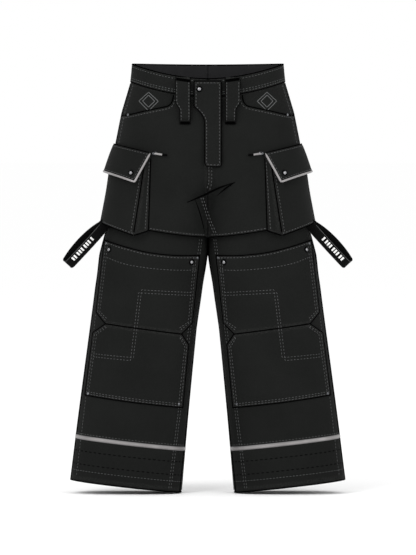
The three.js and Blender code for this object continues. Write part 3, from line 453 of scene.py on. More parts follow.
def weld_ring(cloth, rows, columns):
    """Joins the last column of a tube to its first one."""
    total = rows * columns
    swap = {}
    for layer in (0, total):
        for r in range(rows):
            swap[layer + r * columns + columns - 1] = layer + r * columns
    kept = [i for i in range(2 * total) if i not in swap]
    order = {old: new for new, old in enumerate(kept)}
    faces = [[order[swap.get(i, i)] for i in face] for face in cloth.f]
    return Cloth().add(
        np.vstack(cloth.v)[kept], faces, np.vstack(cloth.uv)[kept], np.concatenate(cloth.wear_and_glow_fade)[kept])


def spaced(count, edge=0.012):
    """Even steps from 0 to 1 with a narrow one at either end."""
    return np.concatenate([[0, edge], np.linspace(edge, 1 - edge, count)[1:-1], [1 - edge, 1]])


def panel(layer, q_from, q_to, top, low, columns, rows, offset=0.0, thick=1.8, ring=False):
    """A sheet between two columns and two heights. The columns may lean: q_from and q_to take z.
    top and low take the x, y and q of a column's points at every height, and give its ends."""
    z = layer.z
    r = np.linspace(0, 1, columns) if ring else spaced(columns)
    first, last = q_from(z), q_to(z)
    q = first[:, None] + (last - first)[:, None] * r[None, :]
    heights = np.repeat(z[:, None], len(r), 1)
    lift = offset(heights) if callable(offset) else np.full(heights.shape, float(offset))
    p, _ = layer.at(q, heights, lift)
    ends = []
    for limit in (top, low):
        gap = heights - limit(p[:, :, 0], p[:, :, 1], q)
        below = gap <= 0
        k = np.clip(np.argmax(below, axis=0), 1, len(z) - 1)
        k[~below.any(axis=0)] = len(z) - 1
        col = np.arange(len(r))
        g0, g1 = gap[k - 1, col], gap[k, col]
        t = np.clip(g0 / np.maximum(1e-9, g0 - g1), 0, 1)
        ends.append(z[k - 1] + (z[k] - z[k - 1]) * t)
    v = spaced(rows)
    zz = ends[0][None, :] + (ends[1] - ends[0])[None, :] * v[:, None]
    begin = np.interp(-zz, -z, first)
    qq = begin + (np.interp(-zz, -z, last) - begin) * r[None, :]
    height = offset(zz) if callable(offset) else np.full(zz.shape, offset)
    points, normals = layer.at(qq, zz, height)
    width = np.interp(-zz, -z, layer.round)
    uv = np.dstack([qq * width, zz])
    return slab(points, thick, normals, uv, ring)


def steady(value):
    return lambda *a: value


def column_at(x, back=False):
    """The column that runs straight down at an x of the front view, or of the back view."""
    return lambda z: OUTER.q_at(np.full(z.shape, float(x)), z, back=back)


def zero(z):
    return np.zeros_like(z)


def one(z):
    return np.ones_like(z)


# ---- lines on a layer: each is a run of points with the cloth's normals ----
def dense(points, step=2.5):
    p = np.asarray(points, float)
    run = run_of(p)
    count = max(2, int(run[-1] / step) + 1)
    even = np.linspace(0, run[-1], count)
    return np.stack([np.interp(even, run, p[:, k]) for k in range(p.shape[1])], 1)


def curved(points, step=2.5):
    """A smooth curve through the points (Catmull-Rom)."""
    p = np.asarray(points, float)
    ends = np.vstack([2 * p[0] - p[1], p, 2 * p[-1] - p[-2]])
    out = []
    for k in range(len(p) - 1):
        a, b, c, d = ends[k : k + 4]
        t = np.linspace(0, 1, 12, endpoint=False)[:, None]
        out.append(0.5 * (2 * b + (c - a) * t + (2 * a - 5 * b + 4 * c - d) * t**2
                          + (3 * b - a - 3 * c + d) * t**3))
    return dense(np.vstack(out + [p[-1:]]), step)


def on_front(layer, points, offset=0.0, back=False):
    p = dense(points)
    return layer.at(layer.q_at(p[:, 0], p[:, 1], back, offset), p[:, 1], offset)


def round_line(layer, q0, q1, height, offset=0.0):
    """A line round the layer whose height takes x and y."""
    q = np.linspace(q0, q1, max(8, int(abs(q1 - q0) * 240)))
    z = np.full(q.shape, float(layer.z[0]))
    for _ in range(30):
        p, _ = layer.at(q, z)
        z = 0.5 * z + 0.5 * height(p[:, 0], p[:, 1])
    return layer.at(q, z, offset)


def middle_front(points, offset):
    """Points of a piece that bridges the front middle."""
    p = dense(points)
    return middle_surface(p[:, 0], p[:, 1], offset)


def middle_surface(x, z, offset):
    def y(a, b):
        return front_y(OUTER_TABLE, offset, np.sqrt(a * a + 625), np.maximum(b, -300))
    here = np.stack([x, y(x, z), z], -1)
    dx = (y(x + 1, z) - y(x - 1, z)) / 2
    dz = (y(x, z + 1) - y(x, z - 1)) / 2
    return here, unit(np.stack([dx, -np.ones_like(dx), dz], -1))


def shifted(points, by):
    """A line of the front view moved sideways: to its left for a positive distance."""
    p = np.asarray(points, float)
    d = unit(np.gradient(p, axis=0))
    return p + np.stack([-d[:, 1], d[:, 0]], 1) * by


def resample(points, normals, step):
    """Even spots along a line, with the cloth's normal and the line's direction at each."""
    run = run_of(points)
    count = int(run[-1] / step)
    if count < 1:
        return None

    def look(values, at):
        return np.stack([np.interp(at, run, values[:, k]) for k in range(3)], 1)

    s = (np.arange(count) + 0.5) * run[-1] / count
    t = unit(look(points, np.minimum(run[-1], s + 1)) - look(points, np.maximum(0, s - 1)))
    n = look(normals, s)
    n = unit(n - t * (n * t).sum(1, keepdims=True))
    return look(points, s), n, t


STITCH_PITCH = 8.2
STITCH_LENGTH = 4.8
STITCH_WIDTH = 1.25
STITCH_RISE = 0.7
STITCH_RINGS = ((-0.5, 0.35, 0.05), (-0.42, 0.8, 0.6), (-0.2, 1.0, 1.0), (0.2, 1.0, 1.0),
                (0.42, 0.8, 0.6), (0.5, 0.35, 0.05))
STITCH_ARC = ((-0.5, -0.3), (-0.42, 0.45), (-0.16, 0.95), (0.16, 0.95), (0.42, 0.45), (0.5, -0.3))


def stitch(cloth, line, scale=1.0):
    """Thread dashes along a line, each a small rounded bead that dives into the cloth."""
    found = resample(line[0], line[1], STITCH_PITCH * scale)
    if found is None:
        return
    p, n, t = found
    side = np.cross(n, t)
    verts = []
    for along, narrow, rise in STITCH_RINGS:
        for across, up in STITCH_ARC:
            verts.append(
                p + t * along * STITCH_LENGTH * scale + side * across * narrow * STITCH_WIDTH * scale
                + n * (up * rise * STITCH_RISE * scale + (0 if rise > 0.5 else -0.25))
            )
    verts = np.stack(verts, 1)
    rings, arc = len(STITCH_RINGS), len(STITCH_ARC)
    base = barrel(rings, arc)
    flat = np.tile([[a * STITCH_LENGTH, c * STITCH_WIDTH] for a, _, _ in STITCH_RINGS
                    for c, _ in STITCH_ARC], (len(p), 1))
    faces = [[i + k * rings * arc for i in face] for k in range(len(p)) for face in base]
    cloth.add(verts.reshape(-1, 3), faces, flat)


CORD_ARC = ((-0.5, -0.35), (-0.44, 0.35), (-0.2, 0.85), (0.2, 0.85), (0.44, 0.35), (0.5, -0.35))


def cord(cloth, line, width=2.4, rise=0.9, taper=None):
    """A raised seam edge along a line. taper takes 0 to 1 along it and gives its width."""
    p, n = np.asarray(line[0]), np.asarray(line[1])
    side = unit(np.cross(n, unit(np.gradient(p, axis=0))))
    run = run_of(p)
    s = run / max(1e-9, run[-1])
    w = np.full(len(s), width) if taper is None else np.array([taper(a) for a in s])
    h = np.minimum(rise, w * 0.4)
    verts = np.stack([p + side * (a * w)[:, None] + n * (b * h)[:, None] for a, b in CORD_ARC], 1)
    arc = len(CORD_ARC)
    flat_across = np.tile([a * width for a, _ in CORD_ARC], (len(p), 1))
    uv = np.stack([np.repeat(run[:, None], arc, 1), flat_across], 2)
    cloth.add(verts.reshape(-1, 3), barrel(len(p), arc), uv)


TUBE_RADIUS = 2.5  # the girth that a round cord's flat coordinates are for


def tube(cloth, points, radius, sides=12):
    """A round cord through points."""
    p = np.asarray(points, float)
    t = unit(np.gradient(p, axis=0))
    up = np.array([0.0, -1.0, 0.02])
    verts = []
    for k in range(len(p)):
        a = unit(np.cross(t[k], up))
        b = np.cross(a, t[k])
        r = radius(k / (len(p) - 1)) if callable(radius) else radius
        for j in range(sides):
            w = 2 * math.pi * j / sides
            verts.append(p[k] + (a * math.cos(w) + b * math.sin(w)) * r)
    run = run_of(p)
    uv = [[run[k], j * 2 * math.pi * TUBE_RADIUS / sides] for k in range(len(p)) for j in range(sides)]
    cloth.add(verts, barrel(len(p), sides, flip=True), uv)


def lathe(cloth, centre, normal, profile, sides=28):
    """A turned piece: profile is radius and height, from the rim to the middle."""
    n = unit(np.asarray(normal, float))
    a = unit(np.cross(n, [0.31, 0.17, 0.93]))
    b = np.cross(n, a)
    verts = []
    for r, h in profile:
        for j in range(sides):
            w = 2 * math.pi * j / sides
            verts.append(np.asarray(centre) + (a * math.cos(w) + b * math.sin(w)) * r + n * h)
    cloth.add(verts, barrel(len(profile), sides))


# ---- materials ----
def linear(value):
    c = value / 255
    return c / 12.92 if c <= 0.04045 else ((c + 0.055) / 1.055) ** 2.4


def shade(r, g, b):
    return (linear(r), linear(g), linear(b), 1.0)


class Nodes:
    """Short names for building one node material."""

    def __init__(self, name):
        self.material = bpy.data.materials.new(name)
        self.material.use_nodes = True
        self.tree = self.material.node_tree
        self.shader = self.tree.nodes["Principled BSDF"]

    def plug(self, socket, value):
        if isinstance(value, bpy.types.NodeSocket):
            self.tree.links.new(value, socket)
        else:
            socket.default_value = value

    def new(self, kind, values=(), **settings):
        node = self.tree.nodes.new(kind)
        for key, value in settings.items():
            setattr(node, key, value)
        for key, value in dict(values).items():
            self.plug(node.inputs[key], value)
        return node

    def math(self, operation, a, b):
        return self.new("ShaderNodeMath", {0: a, 1: b}, operation=operation).outputs[0]

    def mix(self, factor, a, b):
        return self.new("ShaderNodeMix", {0: factor, 6: a, 7: b}, data_type="RGBA").outputs[2]

    def ramp(self, factor, low, high):
        node = self.new("ShaderNodeMapRange", {"Value": factor, "From Min": low, "From Max": high})
        return node.outputs[0]

    def noise(self, where, scale, detail):
        values = {"Vector": where, "Scale": scale, "Detail": detail}
        return self.new("ShaderNodeTexNoise", values).outputs["Fac"]

    def bump(self, height, strength, distance, **more):
        values = {"Height": height, "Strength": strength, "Distance": distance, **more}
        return self.new("ShaderNodeBump", values).outputs[0]

    # reads the point attribute: real edge wear on cloth, the painted glow fade on the reflective band
    def wear_and_glow_fade(self):
        node = self.new("ShaderNodeAttribute", attribute_name="wear_and_glow_fade", attribute_type="GEOMETRY")
        return node.outputs["Fac"]

    def where(self):
        return self.new("ShaderNodeTexCoord").outputs["Object"]

    def set(self, **values):
        for key, value in values.items():
            self.plug(self.shader.inputs[key.replace("_", " ")], value)
        return self.material


def weave_height(n, pitch_u, pitch_v, turn=0.0):
    """Threads over and under each other, from the flat coordinates in metres."""
    uv = n.new("ShaderNodeTexCoord").outputs["UV"]
    if turn:
        uv = n.new("ShaderNodeMapping", {"Vector": uv, "Rotation": (0, 0, turn)}).outputs[0]
    waves = []
    for pitch, direction in ((pitch_u, "X"), (pitch_v, "Y")):
        wave = n.new(
            "ShaderNodeTexWave", {"Vector": uv, "Scale": 0.314 / pitch, "Distortion": 0.0},
            wave_type="BANDS", bands_direction=direction,
        )
        waves.append(wave.outputs["Fac"])
    return n.math("MULTIPLY", waves[0], waves[1])


def woven(name, dark, light, pitch, wear_colour, rough=0.9, sheen=0.0, depth=0.00025, turn=0.0,
          shine=0.1):
    n = Nodes(name)
    where = n.where()
    broad = n.noise(where, 9.0, 4.0)
    slubs = n.noise(where, 420.0, 2.0)
    weave = weave_height(n, pitch, pitch * 1.15, turn)
    tone = n.math("ADD", n.math("MULTIPLY", n.ramp(broad, 0.3, 0.7), 0.45),
                  n.math("MULTIPLY", n.ramp(slubs, 0.35, 0.7), 0.55))
    colour = n.mix(tone, dark, light)
    colour = n.mix(n.math("MULTIPLY", weave, 0.35), colour, light)
    rubbed = n.math("MULTIPLY", n.math("MULTIPLY", n.wear_and_glow_fade(), n.ramp(slubs, 0.4, 0.75)), 0.5)
    colour = n.mix(rubbed, colour, wear_colour)
    height = n.math("ADD", weave, n.math("MULTIPLY", slubs, 0.6))
    bump = n.bump(broad, 0.35, 0.004, Normal=n.bump(height, 0.5, depth))
    roughness = n.math("ADD", rough - 0.06, n.math("MULTIPLY", slubs, 0.12))
    return n.set(
        Base_Color=colour, Normal=bump, Roughness=roughness, Sheen_Weight=sheen, Sheen_Roughness=0.5,
        Specular_IOR_Level=shine,
    )


DUCK = woven("duck_cloth", shade(11, 12, 11), shade(21, 22, 21), 0.0011, shade(44, 44, 43))
DUCK_FLAP = woven("duck_pocket_cloth", shade(11, 12, 11), shade(20, 21, 20), 0.0011, shade(44, 44, 43))
# the lining is a real inner cloth, painted lighter than the duck cloth to make up for the shade it lies in
# inside the waist, the pocket and the fly
LINING_PAINTED_LIGHTER = woven("lining_cloth_painted_lighter", shade(27, 27, 28), shade(38, 38, 39), 0.0007, shade(45, 45, 45), rough=0.8)
# near-black cloth for the cords on seams, outlines and creases: real raised edges painted black for the
# shade in their folds; also used for black thread bars and dark stitches
BLACK_SHADE_AND_THREAD = woven("painted_shade_and_black_thread", shade(1, 1, 1), shade(4, 4, 4), 0.0008, shade(9, 9, 9), turn=0.8,
             shine=0.0)
WEBBING = woven("webbing", shade(2, 2, 2), shade(9, 9, 9), 0.0021, shade(22, 22, 22),
                depth=0.0005, turn=0.785)
THREAD = woven("thread", shade(62, 63, 63), shade(88, 89, 89), 0.0006, shade(106, 106, 106),
               rough=0.7, turn=0.6)
WHITE_THREAD = woven("bar_thread", shade(205, 205, 203), shade(236, 236, 234), 0.0008,
                     shade(240, 240, 240), rough=0.75, turn=0.6)


def metal(name, dark, light, rough):
    n = Nodes(name)
    where = n.where()
    grain = n.noise(where, 900.0, 3.0)
    stain = n.noise(where, 160.0, 2.0)
    return n.set(
        Base_Color=n.mix(n.ramp(stain, 0.3, 0.7), dark, light), Metallic=1.0,
        Roughness=n.math("ADD", rough, n.math("MULTIPLY", grain, 0.15)),
        Normal=n.bump(grain, 0.2, 0.0001),
    )


GUNMETAL = metal("gunmetal", shade(70, 71, 74), shade(118, 119, 122), 0.28)
SILVER = metal("worn_steel", shade(112, 112, 114), shade(150, 150, 152), 0.36)
DARK_METAL = metal("dark_metal", shade(3, 3, 3), shade(12, 12, 12), 0.5)


def reflective(name):
    """Glass-bead tape: bright along its middle, with a soft edge. The soft edge is a painted glow: a point
    attribute darkens the colour where the band's fade is set, towards its edges.
    """
    n = Nodes(name)
    where = n.where()
    beads = n.new("ShaderNodeTexVoronoi", {"Vector": where, "Scale": 1400.0}).outputs["Distance"]
    patch = n.noise(where, 30.0, 3.0)
    colour = n.mix(n.ramp(patch, 0.3, 0.75), shade(108, 105, 105), shade(130, 127, 127))
    # painted glow falloff: darker grey where the band's fade reaches its edges
    colour = n.mix(n.math("MULTIPLY", n.wear_and_glow_fade(), 0.9), colour, shade(60, 59, 59))
    return n.set(Base_Color=colour, Roughness=0.42, Normal=n.bump(beads, 0.3, 0.0001),
                 Specular_IOR_Level=0.6)


REFLECTIVE = reflective("reflective_tape")

# ---- shared lines of the front, as x and z ----
SCOOP = curved([(-222, -127), (-195, -124), (-150, -113.5), (-105, -104), (-96, -101), (-90, -95),
                (-86, -84), (-84, -70)])
SCOOP_X = -SCOOP[::-1][:, 0]
SCOOP_Z = SCOOP[::-1][:, 1]


def scoop_at(x):
    inside = np.interp(-x, SCOOP_X, SCOOP_Z)
    return np.where(-x < 84, 0.0, inside)


def front_top(x, *rest):
    return np.minimum(band_seam(x, FRONT_DIP) - 0.4, scoop_at(x))


def facing_low(x, *rest):
    return np.where(-x < 92, -112.0, np.interp(-x, SCOOP_X, SCOOP_Z) - 14)


def band_low_at(x, y, *rest):
    return np.where(y < 0, band_seam(x, FRONT_DIP), band_seam(x, BACK_DIP))


def band_top_at(x, y, *rest):
    return np.where(y < 0, band_top(x, FRONT_DIP), band_top(x, BACK_DIP))


def yoke_at(x, *rest):
    return -112.0 + 28.0 * np.minimum(1, np.abs(x) / 229.0)


# ---- outer layer: panels ----
front = panel(OUTER, zero, OUTER.side, front_top, hem_at, 92, 110)
pair("front_panel", front, DUCK)
back = panel(OUTER, OUTER.side, one, lambda x, y, q: yoke_at(x) - 0.5, hem_at, 92, 100)
pair("back_panel", back, DUCK)
yoke_half = panel(OUTER, OUTER.side, one, lambda x, y, q: band_seam(x, BACK_DIP) - 0.4, yoke_at, 80, 16)
yoke = Cloth().join(yoke_half).join(yoke_half, mirror=True)
single("back_yoke", yoke, DUCK)

facing = panel(OUTER, column_at(-73), OUTER.side,
               lambda x, y, q: band_seam(x, FRONT_DIP) - 0.4, facing_low, 60, 22, offset=-2.2, thick=1.2)
pair("pocket_facing", facing, DUCK_FLAP, slot="pocket_cloth")
BAG_TOP = [(-206, -84), (-200, -72), (-40, -98)]
BAG_LOW = [(-206, -150), (-196, -238), (-170, -262), (-80, -262), (-48, -232), (-40, -200)]


def through(points):
    """A height that follows points of the front view."""
    p = np.array(sorted(map(tuple, points)))
    return lambda x, *rest: np.interp(x, p[:, 0], p[:, 1])


bag = panel(OUTER, column_at(-44), column_at(-184), through(BAG_TOP), through(BAG_LOW), 40, 40,
            offset=-5.4, thick=1.0)
pair("hand_pocket_bag", bag, LINING_PAINTED_LIGHTER, slot="pocket_cloth")

# ---- waistband and its facing ----
BAND_PROUD = 1.9


def band_ring(offset, thick, drop, rows):
    half = panel(OUTER, zero, one, lambda x, y, q: band_top_at(x, y) - drop, band_low_at,
                 170, rows, offset=offset, thick=thick)
    return Cloth().join(half).join(half, mirror=True)


single("waistband", band_ring(BAND_PROUD, 3.4, 0.0, 18), DUCK)
single("waistband_facing", band_ring(-1.8, 1.4, 1.4, 14), LINING_PAINTED_LIGHTER, slot="pocket_cloth")

# ---- back pockets ----
BACK_POCKET_TOP = [(-165, -134), (-44, -146)]
BACK_POCKET_LOW = [(-166, -246), (-108, -272), (-46, -258)]


back_pocket = panel(OUTER, column_at(-165, back=True), column_at(-45, back=True),
                    through(BACK_POCKET_TOP), through(BACK_POCKET_LOW), 40, 44, offset=2.2, thick=1.8)
pair("back_pocket", back_pocket, DUCK)


# ---- pieces that stand off the front middle: rows of x and z with a height over the cloth ----
def front_sheet(left, right, top, low, columns, rows, height, thick, bridge=False, back=False):
    z = top + (low - top) * spaced(rows)
    r = spaced(columns)
    zz = np.repeat(z[:, None], len(r), 1)
    a, b = np.array([left(v) for v in z]), np.array([right(v) for v in z])
    xx = a[:, None] + (b - a)[:, None] * r[None, :]
    if bridge:
        p, n = middle_surface(xx, zz, height)
    else:
        offset = np.array([height(v) for v in z])[:, None] * np.ones_like(xx)
        y = front_y(OUTER_TABLE, offset, xx, zz)
        if back:
            shift = section_lookup(OUTER_TABLE)(zz)[3]
            y = 2 * shift - y
        p = np.dstack([xx, y, zz])
        n = np.zeros_like(p)
        n[:, :, 1] = 1.0 if back else -1.0
    return slab(p, thick, n, np.dstack([xx, zz]))


LOOP_SEWN, LOOP_RISE = 7.0, 10.0  # a loop is sewn down this far from its end, then rises


def standing(top, low, stand, foot):
    """Height of a belt loop over the cloth: down at both ends, clear between them."""
    def height(z):
        end = min(top - z, z - low)
        return foot + (stand - foot) * float(smooth((end - LOOP_SEWN) / LOOP_RISE))
    return height


LOOP_TOP, LOOP_LOW = -31.0, -147.0
LOOP_STAND = 12.6
LOOP_INNER = -43.0


def loop_outer(z):
    return -80 + 11 * float(smooth((-z - 90) / 24))


loop_height = standing(LOOP_TOP, LOOP_LOW, LOOP_STAND, 4.0)
front_loop = front_sheet(loop_outer, steady(LOOP_INNER), LOOP_TOP, LOOP_LOW, 12, 50, loop_height, 1.8)
pair("front_belt_loop", front_loop, DUCK, slot="webbing")
BACK_LOOP_TOP, BACK_LOOP_LOW = -7.0, -66.0
back_height = standing(BACK_LOOP_TOP, BACK_LOOP_LOW, LOOP_STAND, 4.2)


def back_belt_loop(left, right):
    return front_sheet(steady(left), steady(right), BACK_LOOP_TOP, BACK_LOOP_LOW, 10, 30,
                       back_height, 1.8, back=True)


back_loop = back_belt_loop(-124.0, -98.0)
pair("back_belt_loop", back_loop, DUCK, slot="webbing")
middle_loop = back_belt_loop(-13.0, 13.0)
single("back_belt_loop_middle", middle_loop, DUCK, slot="webbing")

# ---- fly shield ----
SHIELD_TOP, SHIELD_LOW = -40.0, -252.0
SHIELD_STAND = 7.3
SHIELD_CORNER = 14  # the radius of its lower corner


def shield_left(z):
    sweep = min(1.0, max(0.0, (-z - 103) / 42))
    body = -34 + 26 * (1 - (1 - sweep) ** 2)
    corner = max(0.0, -z - 240)
    return body + SHIELD_CORNER - math.sqrt(max(0.0, SHIELD_CORNER**2 - corner * corner))


def shield_right(z):
    corner = max(0.0, -z - 248)
    return 34 - corner * 0.8


shield = front_sheet(shield_left, shield_right, SHIELD_TOP, SHIELD_LOW, 22, 76, SHIELD_STAND, 1.8,
                     bridge=True)
single("fly_shield", shield, DUCK, "fly_shield")
TAPE_LEAN = 0.9  # the tape keeps this far inside the front of its CAD box
low_corner, high_corner = [np.array(v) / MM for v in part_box("fly_zip_tape")]
tape_x, tape_z = np.meshgrid(
    np.linspace(low_corner[0], high_corner[0], 9), np.linspace(high_corner[2], low_corner[2], 40))
lean = (high_corner[1] - low_corner[1] - TAPE_LEAN) / (high_corner[2] - low_corner[2])
tape_grid = np.dstack([tape_x, high_corner[1] - TAPE_LEAN - lean * (high_corner[2] - tape_z), tape_z])
single("fly_zip_tape", slab(tape_grid, 0.8, np.zeros_like(tape_grid) + [0, -1, 0]), LINING_PAINTED_LIGHTER)

# ---- cargo pockets ----
POCKET_TOP, POCKET_LOW = -226.0, -404.0


def bulge(z):
    return 8 + 13 * (POCKET_TOP - z) / (POCKET_TOP - POCKET_LOW)


def face_edge(z):
    return np.interp(-np.asarray(z), [226, 420], [-152, -182])


def foot_edge(z):
    return np.interp(-np.asarray(z), [226, 410], [-141, -147])


def pocket_bottom(x, *rest):
    return -396 - 26 * np.clip(1 - (-x - 182) / 79, 0, 1)


def column_back(y_mm):
    """The column on the side where the cloth passes a given y."""
    def find(z):
        out = []
        for value in np.atleast_1d(z):
            row = min(len(OUTER.z) - 1, max(0, int(round((OUTER.top - value) / OUTER.STEP))))
            ys = OUTER.points[row, :, 1]
            start = int(OUTER.side_q[row] * OUTER.COLUMNS) - 6
            stop = start + 40
            out.append(np.interp(y_mm, ys[start:stop], np.arange(start, stop) / OUTER.COLUMNS))
        return np.array(out)
    return find


pocket_back = column_back(24.0)


def face_front(z):
    return OUTER.q_at(face_edge(z), z, offset=bulge(z))


face = panel(OUTER, face_front, pocket_back,
             lambda x, y, q: POCKET_TOP + 14 * np.clip((-x - 152) / 40, 0, 1),
             pocket_bottom, 60, 70, offset=bulge, thick=1.8)
pair("cargo_face", face, DUCK_FLAP, slot="pocket_cloth")


def across_to(first, last, level, lift, t, start, turns=8):
    """Columns and heights of a line from one edge to another, where its height hangs on x."""
    z = np.full(t.shape, start)
    for _ in range(turns):
        a, b = first(z), last(z)
        q = a + (b - a) * t
        where, _ = OUTER.at(q, z, lift(z))
        z = level(where[:, 0])
    return q, z


def blend_grid(a, b, steps, crown):
    """Sheets between two lines, with a soft fold outwards or inwards."""
    t = np.linspace(0, 1, steps)[:, None, None]
    grid = a[None] * (1 - t) + b[None] * t
    return grid + np.sin(t * math.pi) * crown


foot_z = np.linspace(POCKET_TOP, -410, 60)
wall_z = np.linspace(POCKET_TOP, -421, 60)
foot_line, _ = OUTER.at(OUTER.q_at(foot_edge(foot_z), foot_z), foot_z, 1.4)
edge_line, _ = OUTER.at(face_front(wall_z), wall_z, bulge(wall_z) - 0.9)
wall = blend_grid(foot_line, edge_line, 9, np.array([1.2, 0.6, 0]))
gusset = slab(wall, 1.4, np.zeros_like(wall) + [0.6, -0.6, 0])
columns_q, floor_z = across_to(face_front, pocket_back, pocket_bottom, bulge,
                               np.linspace(0, 1, 56), POCKET_LOW)
floor_out, _ = OUTER.at(columns_q, floor_z, bulge(floor_z) - 0.9)
floor_in, _ = OUTER.at(columns_q, floor_z + 5, 1.0)
floor_grid = blend_grid(floor_out, floor_in, 7, np.array([0, 0, -1.0]))
gusset.join(slab(floor_grid, 1.2, np.zeros_like(floor_grid) + [0, 0, -1]))
back_z = np.linspace(POCKET_TOP + 10, -402, 50)
back_q = pocket_back(back_z)
back_out, _ = OUTER.at(back_q, back_z, bulge(back_z) - 0.9)
back_in, _ = OUTER.at(back_q + 0.006, back_z, 1.0)
back_grid = blend_grid(back_out, back_in, 7, np.array([0, 1.0, 0]))
gusset.join(slab(back_grid, 1.2, np.zeros_like(back_grid) + [0, 1, 0]))
pair("cargo_gusset", gusset, DUCK_FLAP, slot="pocket_cloth")

# ---- pocket flaps ----
FLAP_TOP = -198.0
FLAP_BACK = column_back(32.0)


def flare(z):
    return 4.4 + 19.0 * (np.maximum(0, FLAP_TOP - z) / 66) ** 0.8


def flap_seam(x, *rest):
    return FLAP_TOP - 20 * np.maximum(0, 1 - (-x - 140) / 89)


def flap_front(z):
    return np.interp(-np.asarray(z), [217, 290], [-140, -180])


def flap_column(z, inset=0.0):
    return OUTER.q_at(flap_front(z) - inset, z, offset=flare(z))


def flap_low(x, *rest):
    return -268 - 23 * np.maximum(0, 1 - (-x - 180) / 78)


flap = panel(OUTER, flap_column, FLAP_BACK, flap_seam, flap_low, 60, 36, offset=flare, thick=1.9)
pair("cargo_flap", flap, DUCK_FLAP, "cargo_flap", slot="pocket_cloth")


def flap_edge(inset, offset_more, start=-221.0):
    """The flap's free edge, from its front corner down and round to the back."""
    down_z = np.linspace(start, -290 + inset, 24)
    down_x = flap_front(down_z) - inset
    down_q = OUTER.q_at(down_x, down_z, offset=flare(down_z))
    first, n1 = OUTER.at(down_q, down_z, flare(down_z) + offset_more)
    q, z = across_to(lambda z: flap_column(z, inset), FLAP_BACK, lambda x: flap_low(x) + inset, flare,
                     np.linspace(0, 1, 50), -270.0)
    second, n2 = OUTER.at(q, z, flare(z) + offset_more)
    return np.vstack([first, second[1:]]), np.vstack([n1, n2[1:]])


piping = Cloth()
edge_points, _ = flap_edge(1.0, -0.8, start=-219.0)
tube(piping, edge_points, lambda s: 2.7 * min(1.0, 0.4 + s * 20, 0.5 + (1 - s) * 30), sides=10)
pair("flap_piping", piping, REFLECTIVE, "cargo_flap", slot="reflective_tape")

# ---- snap fasteners ----
CAP = [(7.4, -1.0), (7.8, 0.0), (7.6, 0.8), (6.6, 1.5), (5.2, 1.6), (4.6, 1.0)]
DOME = [(4.5, 0.4), (4.4, 1.4), (3.9, 2.1), (2.9, 2.7), (1.6, 3.05), (0.4, 3.15)]
RIVET = [(3.4, -0.6), (3.4, 0.4), (2.8, 1.1), (1.6, 1.5), (0.5, 1.6)]


FLAP_SNAP_SHIFT = [5.0, 0.0, -5.0]  # the cap sits further in and lower than its CAD node, as drawn


def snap(name, spot, body, make=pair):
    """A snap's rim and dome at a spot: its point and normal."""
    for part, profile, material in (("", CAP, DARK_METAL), ("_dome", DOME, SILVER)):
        turned_piece = Cloth()
        lathe(turned_piece, *spot, profile)
        make(name + part, turned_piece, material, body, "snap_metal")


def centre_of(node):
    low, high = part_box(node)
    return (np.array(low) + np.array(high)) / 2 / MM


def layer_spot(layer, x, z, offset):
    return layer.at(layer.q_at(x, z, offset=offset), np.array(float(z)), offset)


spot = centre_of("flap_snap_cap_right") + FLAP_SNAP_SHIFT
snap("flap_snap_cap", layer_spot(OUTER, spot[0], spot[2], flare(spot[2]) + 0.3), "cargo_flap")
spot = centre_of("fly_snap_cap")
snap("fly_snap_cap", middle_surface(spot[0], spot[2], SHIELD_STAND + 0.3), "fly_shield", single)

# ---- legs ----
PATCH_STAND = 2.6


def leg_hem(x, *rest):
    return sloped(LEG_HEM_Z, x)


leg = panel(LEGS, zero, one, steady(-372.0), leg_hem, 170, 170, ring=True)
pair("leg_tube", leg, DUCK, "leg", nodes=["thigh_tube", "shin_tube", "knee_back_sleeve"])

UPPER_TOP = curved([(-256, -434), (-205, -449), (-145, -463), (-80, -470), (-20, -470.7)])
UPPER_INNER = [(-20, -466), (-20, -470.7), (-38, -639), (-65.5, -665.6)]
UPPER_OUTER = [(-256, -430), (-256, -434), (-276.8, -612.5), (-252.7, -640.3)]
KNEE_SEAM = dense([(-65.5, -665.6), (-252.7, -640.3)])
LOWER_INNER = [(-65.5, -664), (-47, -693), (-61.8, -849.4)]
LOWER_OUTER = [(-252.7, -640.3), (-284.7, -663.4), (-304.5, -818.4)]
LOWER_LOW = dense([(-304.5, -818.4), (-183, -835), (-61.8, -849.4)])


def edge_column(points):
    p = np.array(points)[::-1]
    return lambda z: LEGS.q_at(np.interp(z, p[:, 1], p[:, 0]), z, offset=PATCH_STAND)


upper = panel(LEGS, edge_column(UPPER_INNER), edge_column(UPPER_OUTER),
              through(UPPER_TOP), lambda x, y, q: through(KNEE_SEAM)(x) + 0.6, 64, 60,
              offset=PATCH_STAND, thick=1.9)
pair("knee_patch_upper", upper, DUCK, "leg")
lower = panel(LEGS, edge_column(LOWER_INNER), edge_column(LOWER_OUTER),
              lambda x, y, q: through(KNEE_SEAM)(x) - 0.6, through(LOWER_LOW), 64, 60,
              offset=PATCH_STAND, thick=1.9)
pair("knee_patch_lower", lower, DUCK, "leg")

for kind, x, z in (("outer", -244.3, -457.6), ("inner", -39.7, -487.6)):
    snap(f"knee_snap_{kind}", layer_spot(LEGS, x, z, PATCH_STAND + 0.3), "thigh")


# ---- reflective band: a bright middle with feathered edges, the darkening towards its edges a painted glow falloff ----
BAND_UP = 110.0  # the band's height over the leg's hem


def leg_line(drop, offset=0.0):
    return round_line(LEGS, 0.0, 1.0, lambda x, y: sloped(LEG_HEM_Z, x) + BAND_UP - drop, offset)


BAND_HALF = 5.2
band_rows = [leg_line(t * BAND_HALF, offset=1.5 - 0.7 * abs(t) ** 3) for t in np.linspace(-1, 1, 11)]
band_grid = np.array([row[0] for row in band_rows])
band = slab(band_grid, 0.7, np.array([row[1] for row in band_rows]), ring=True)
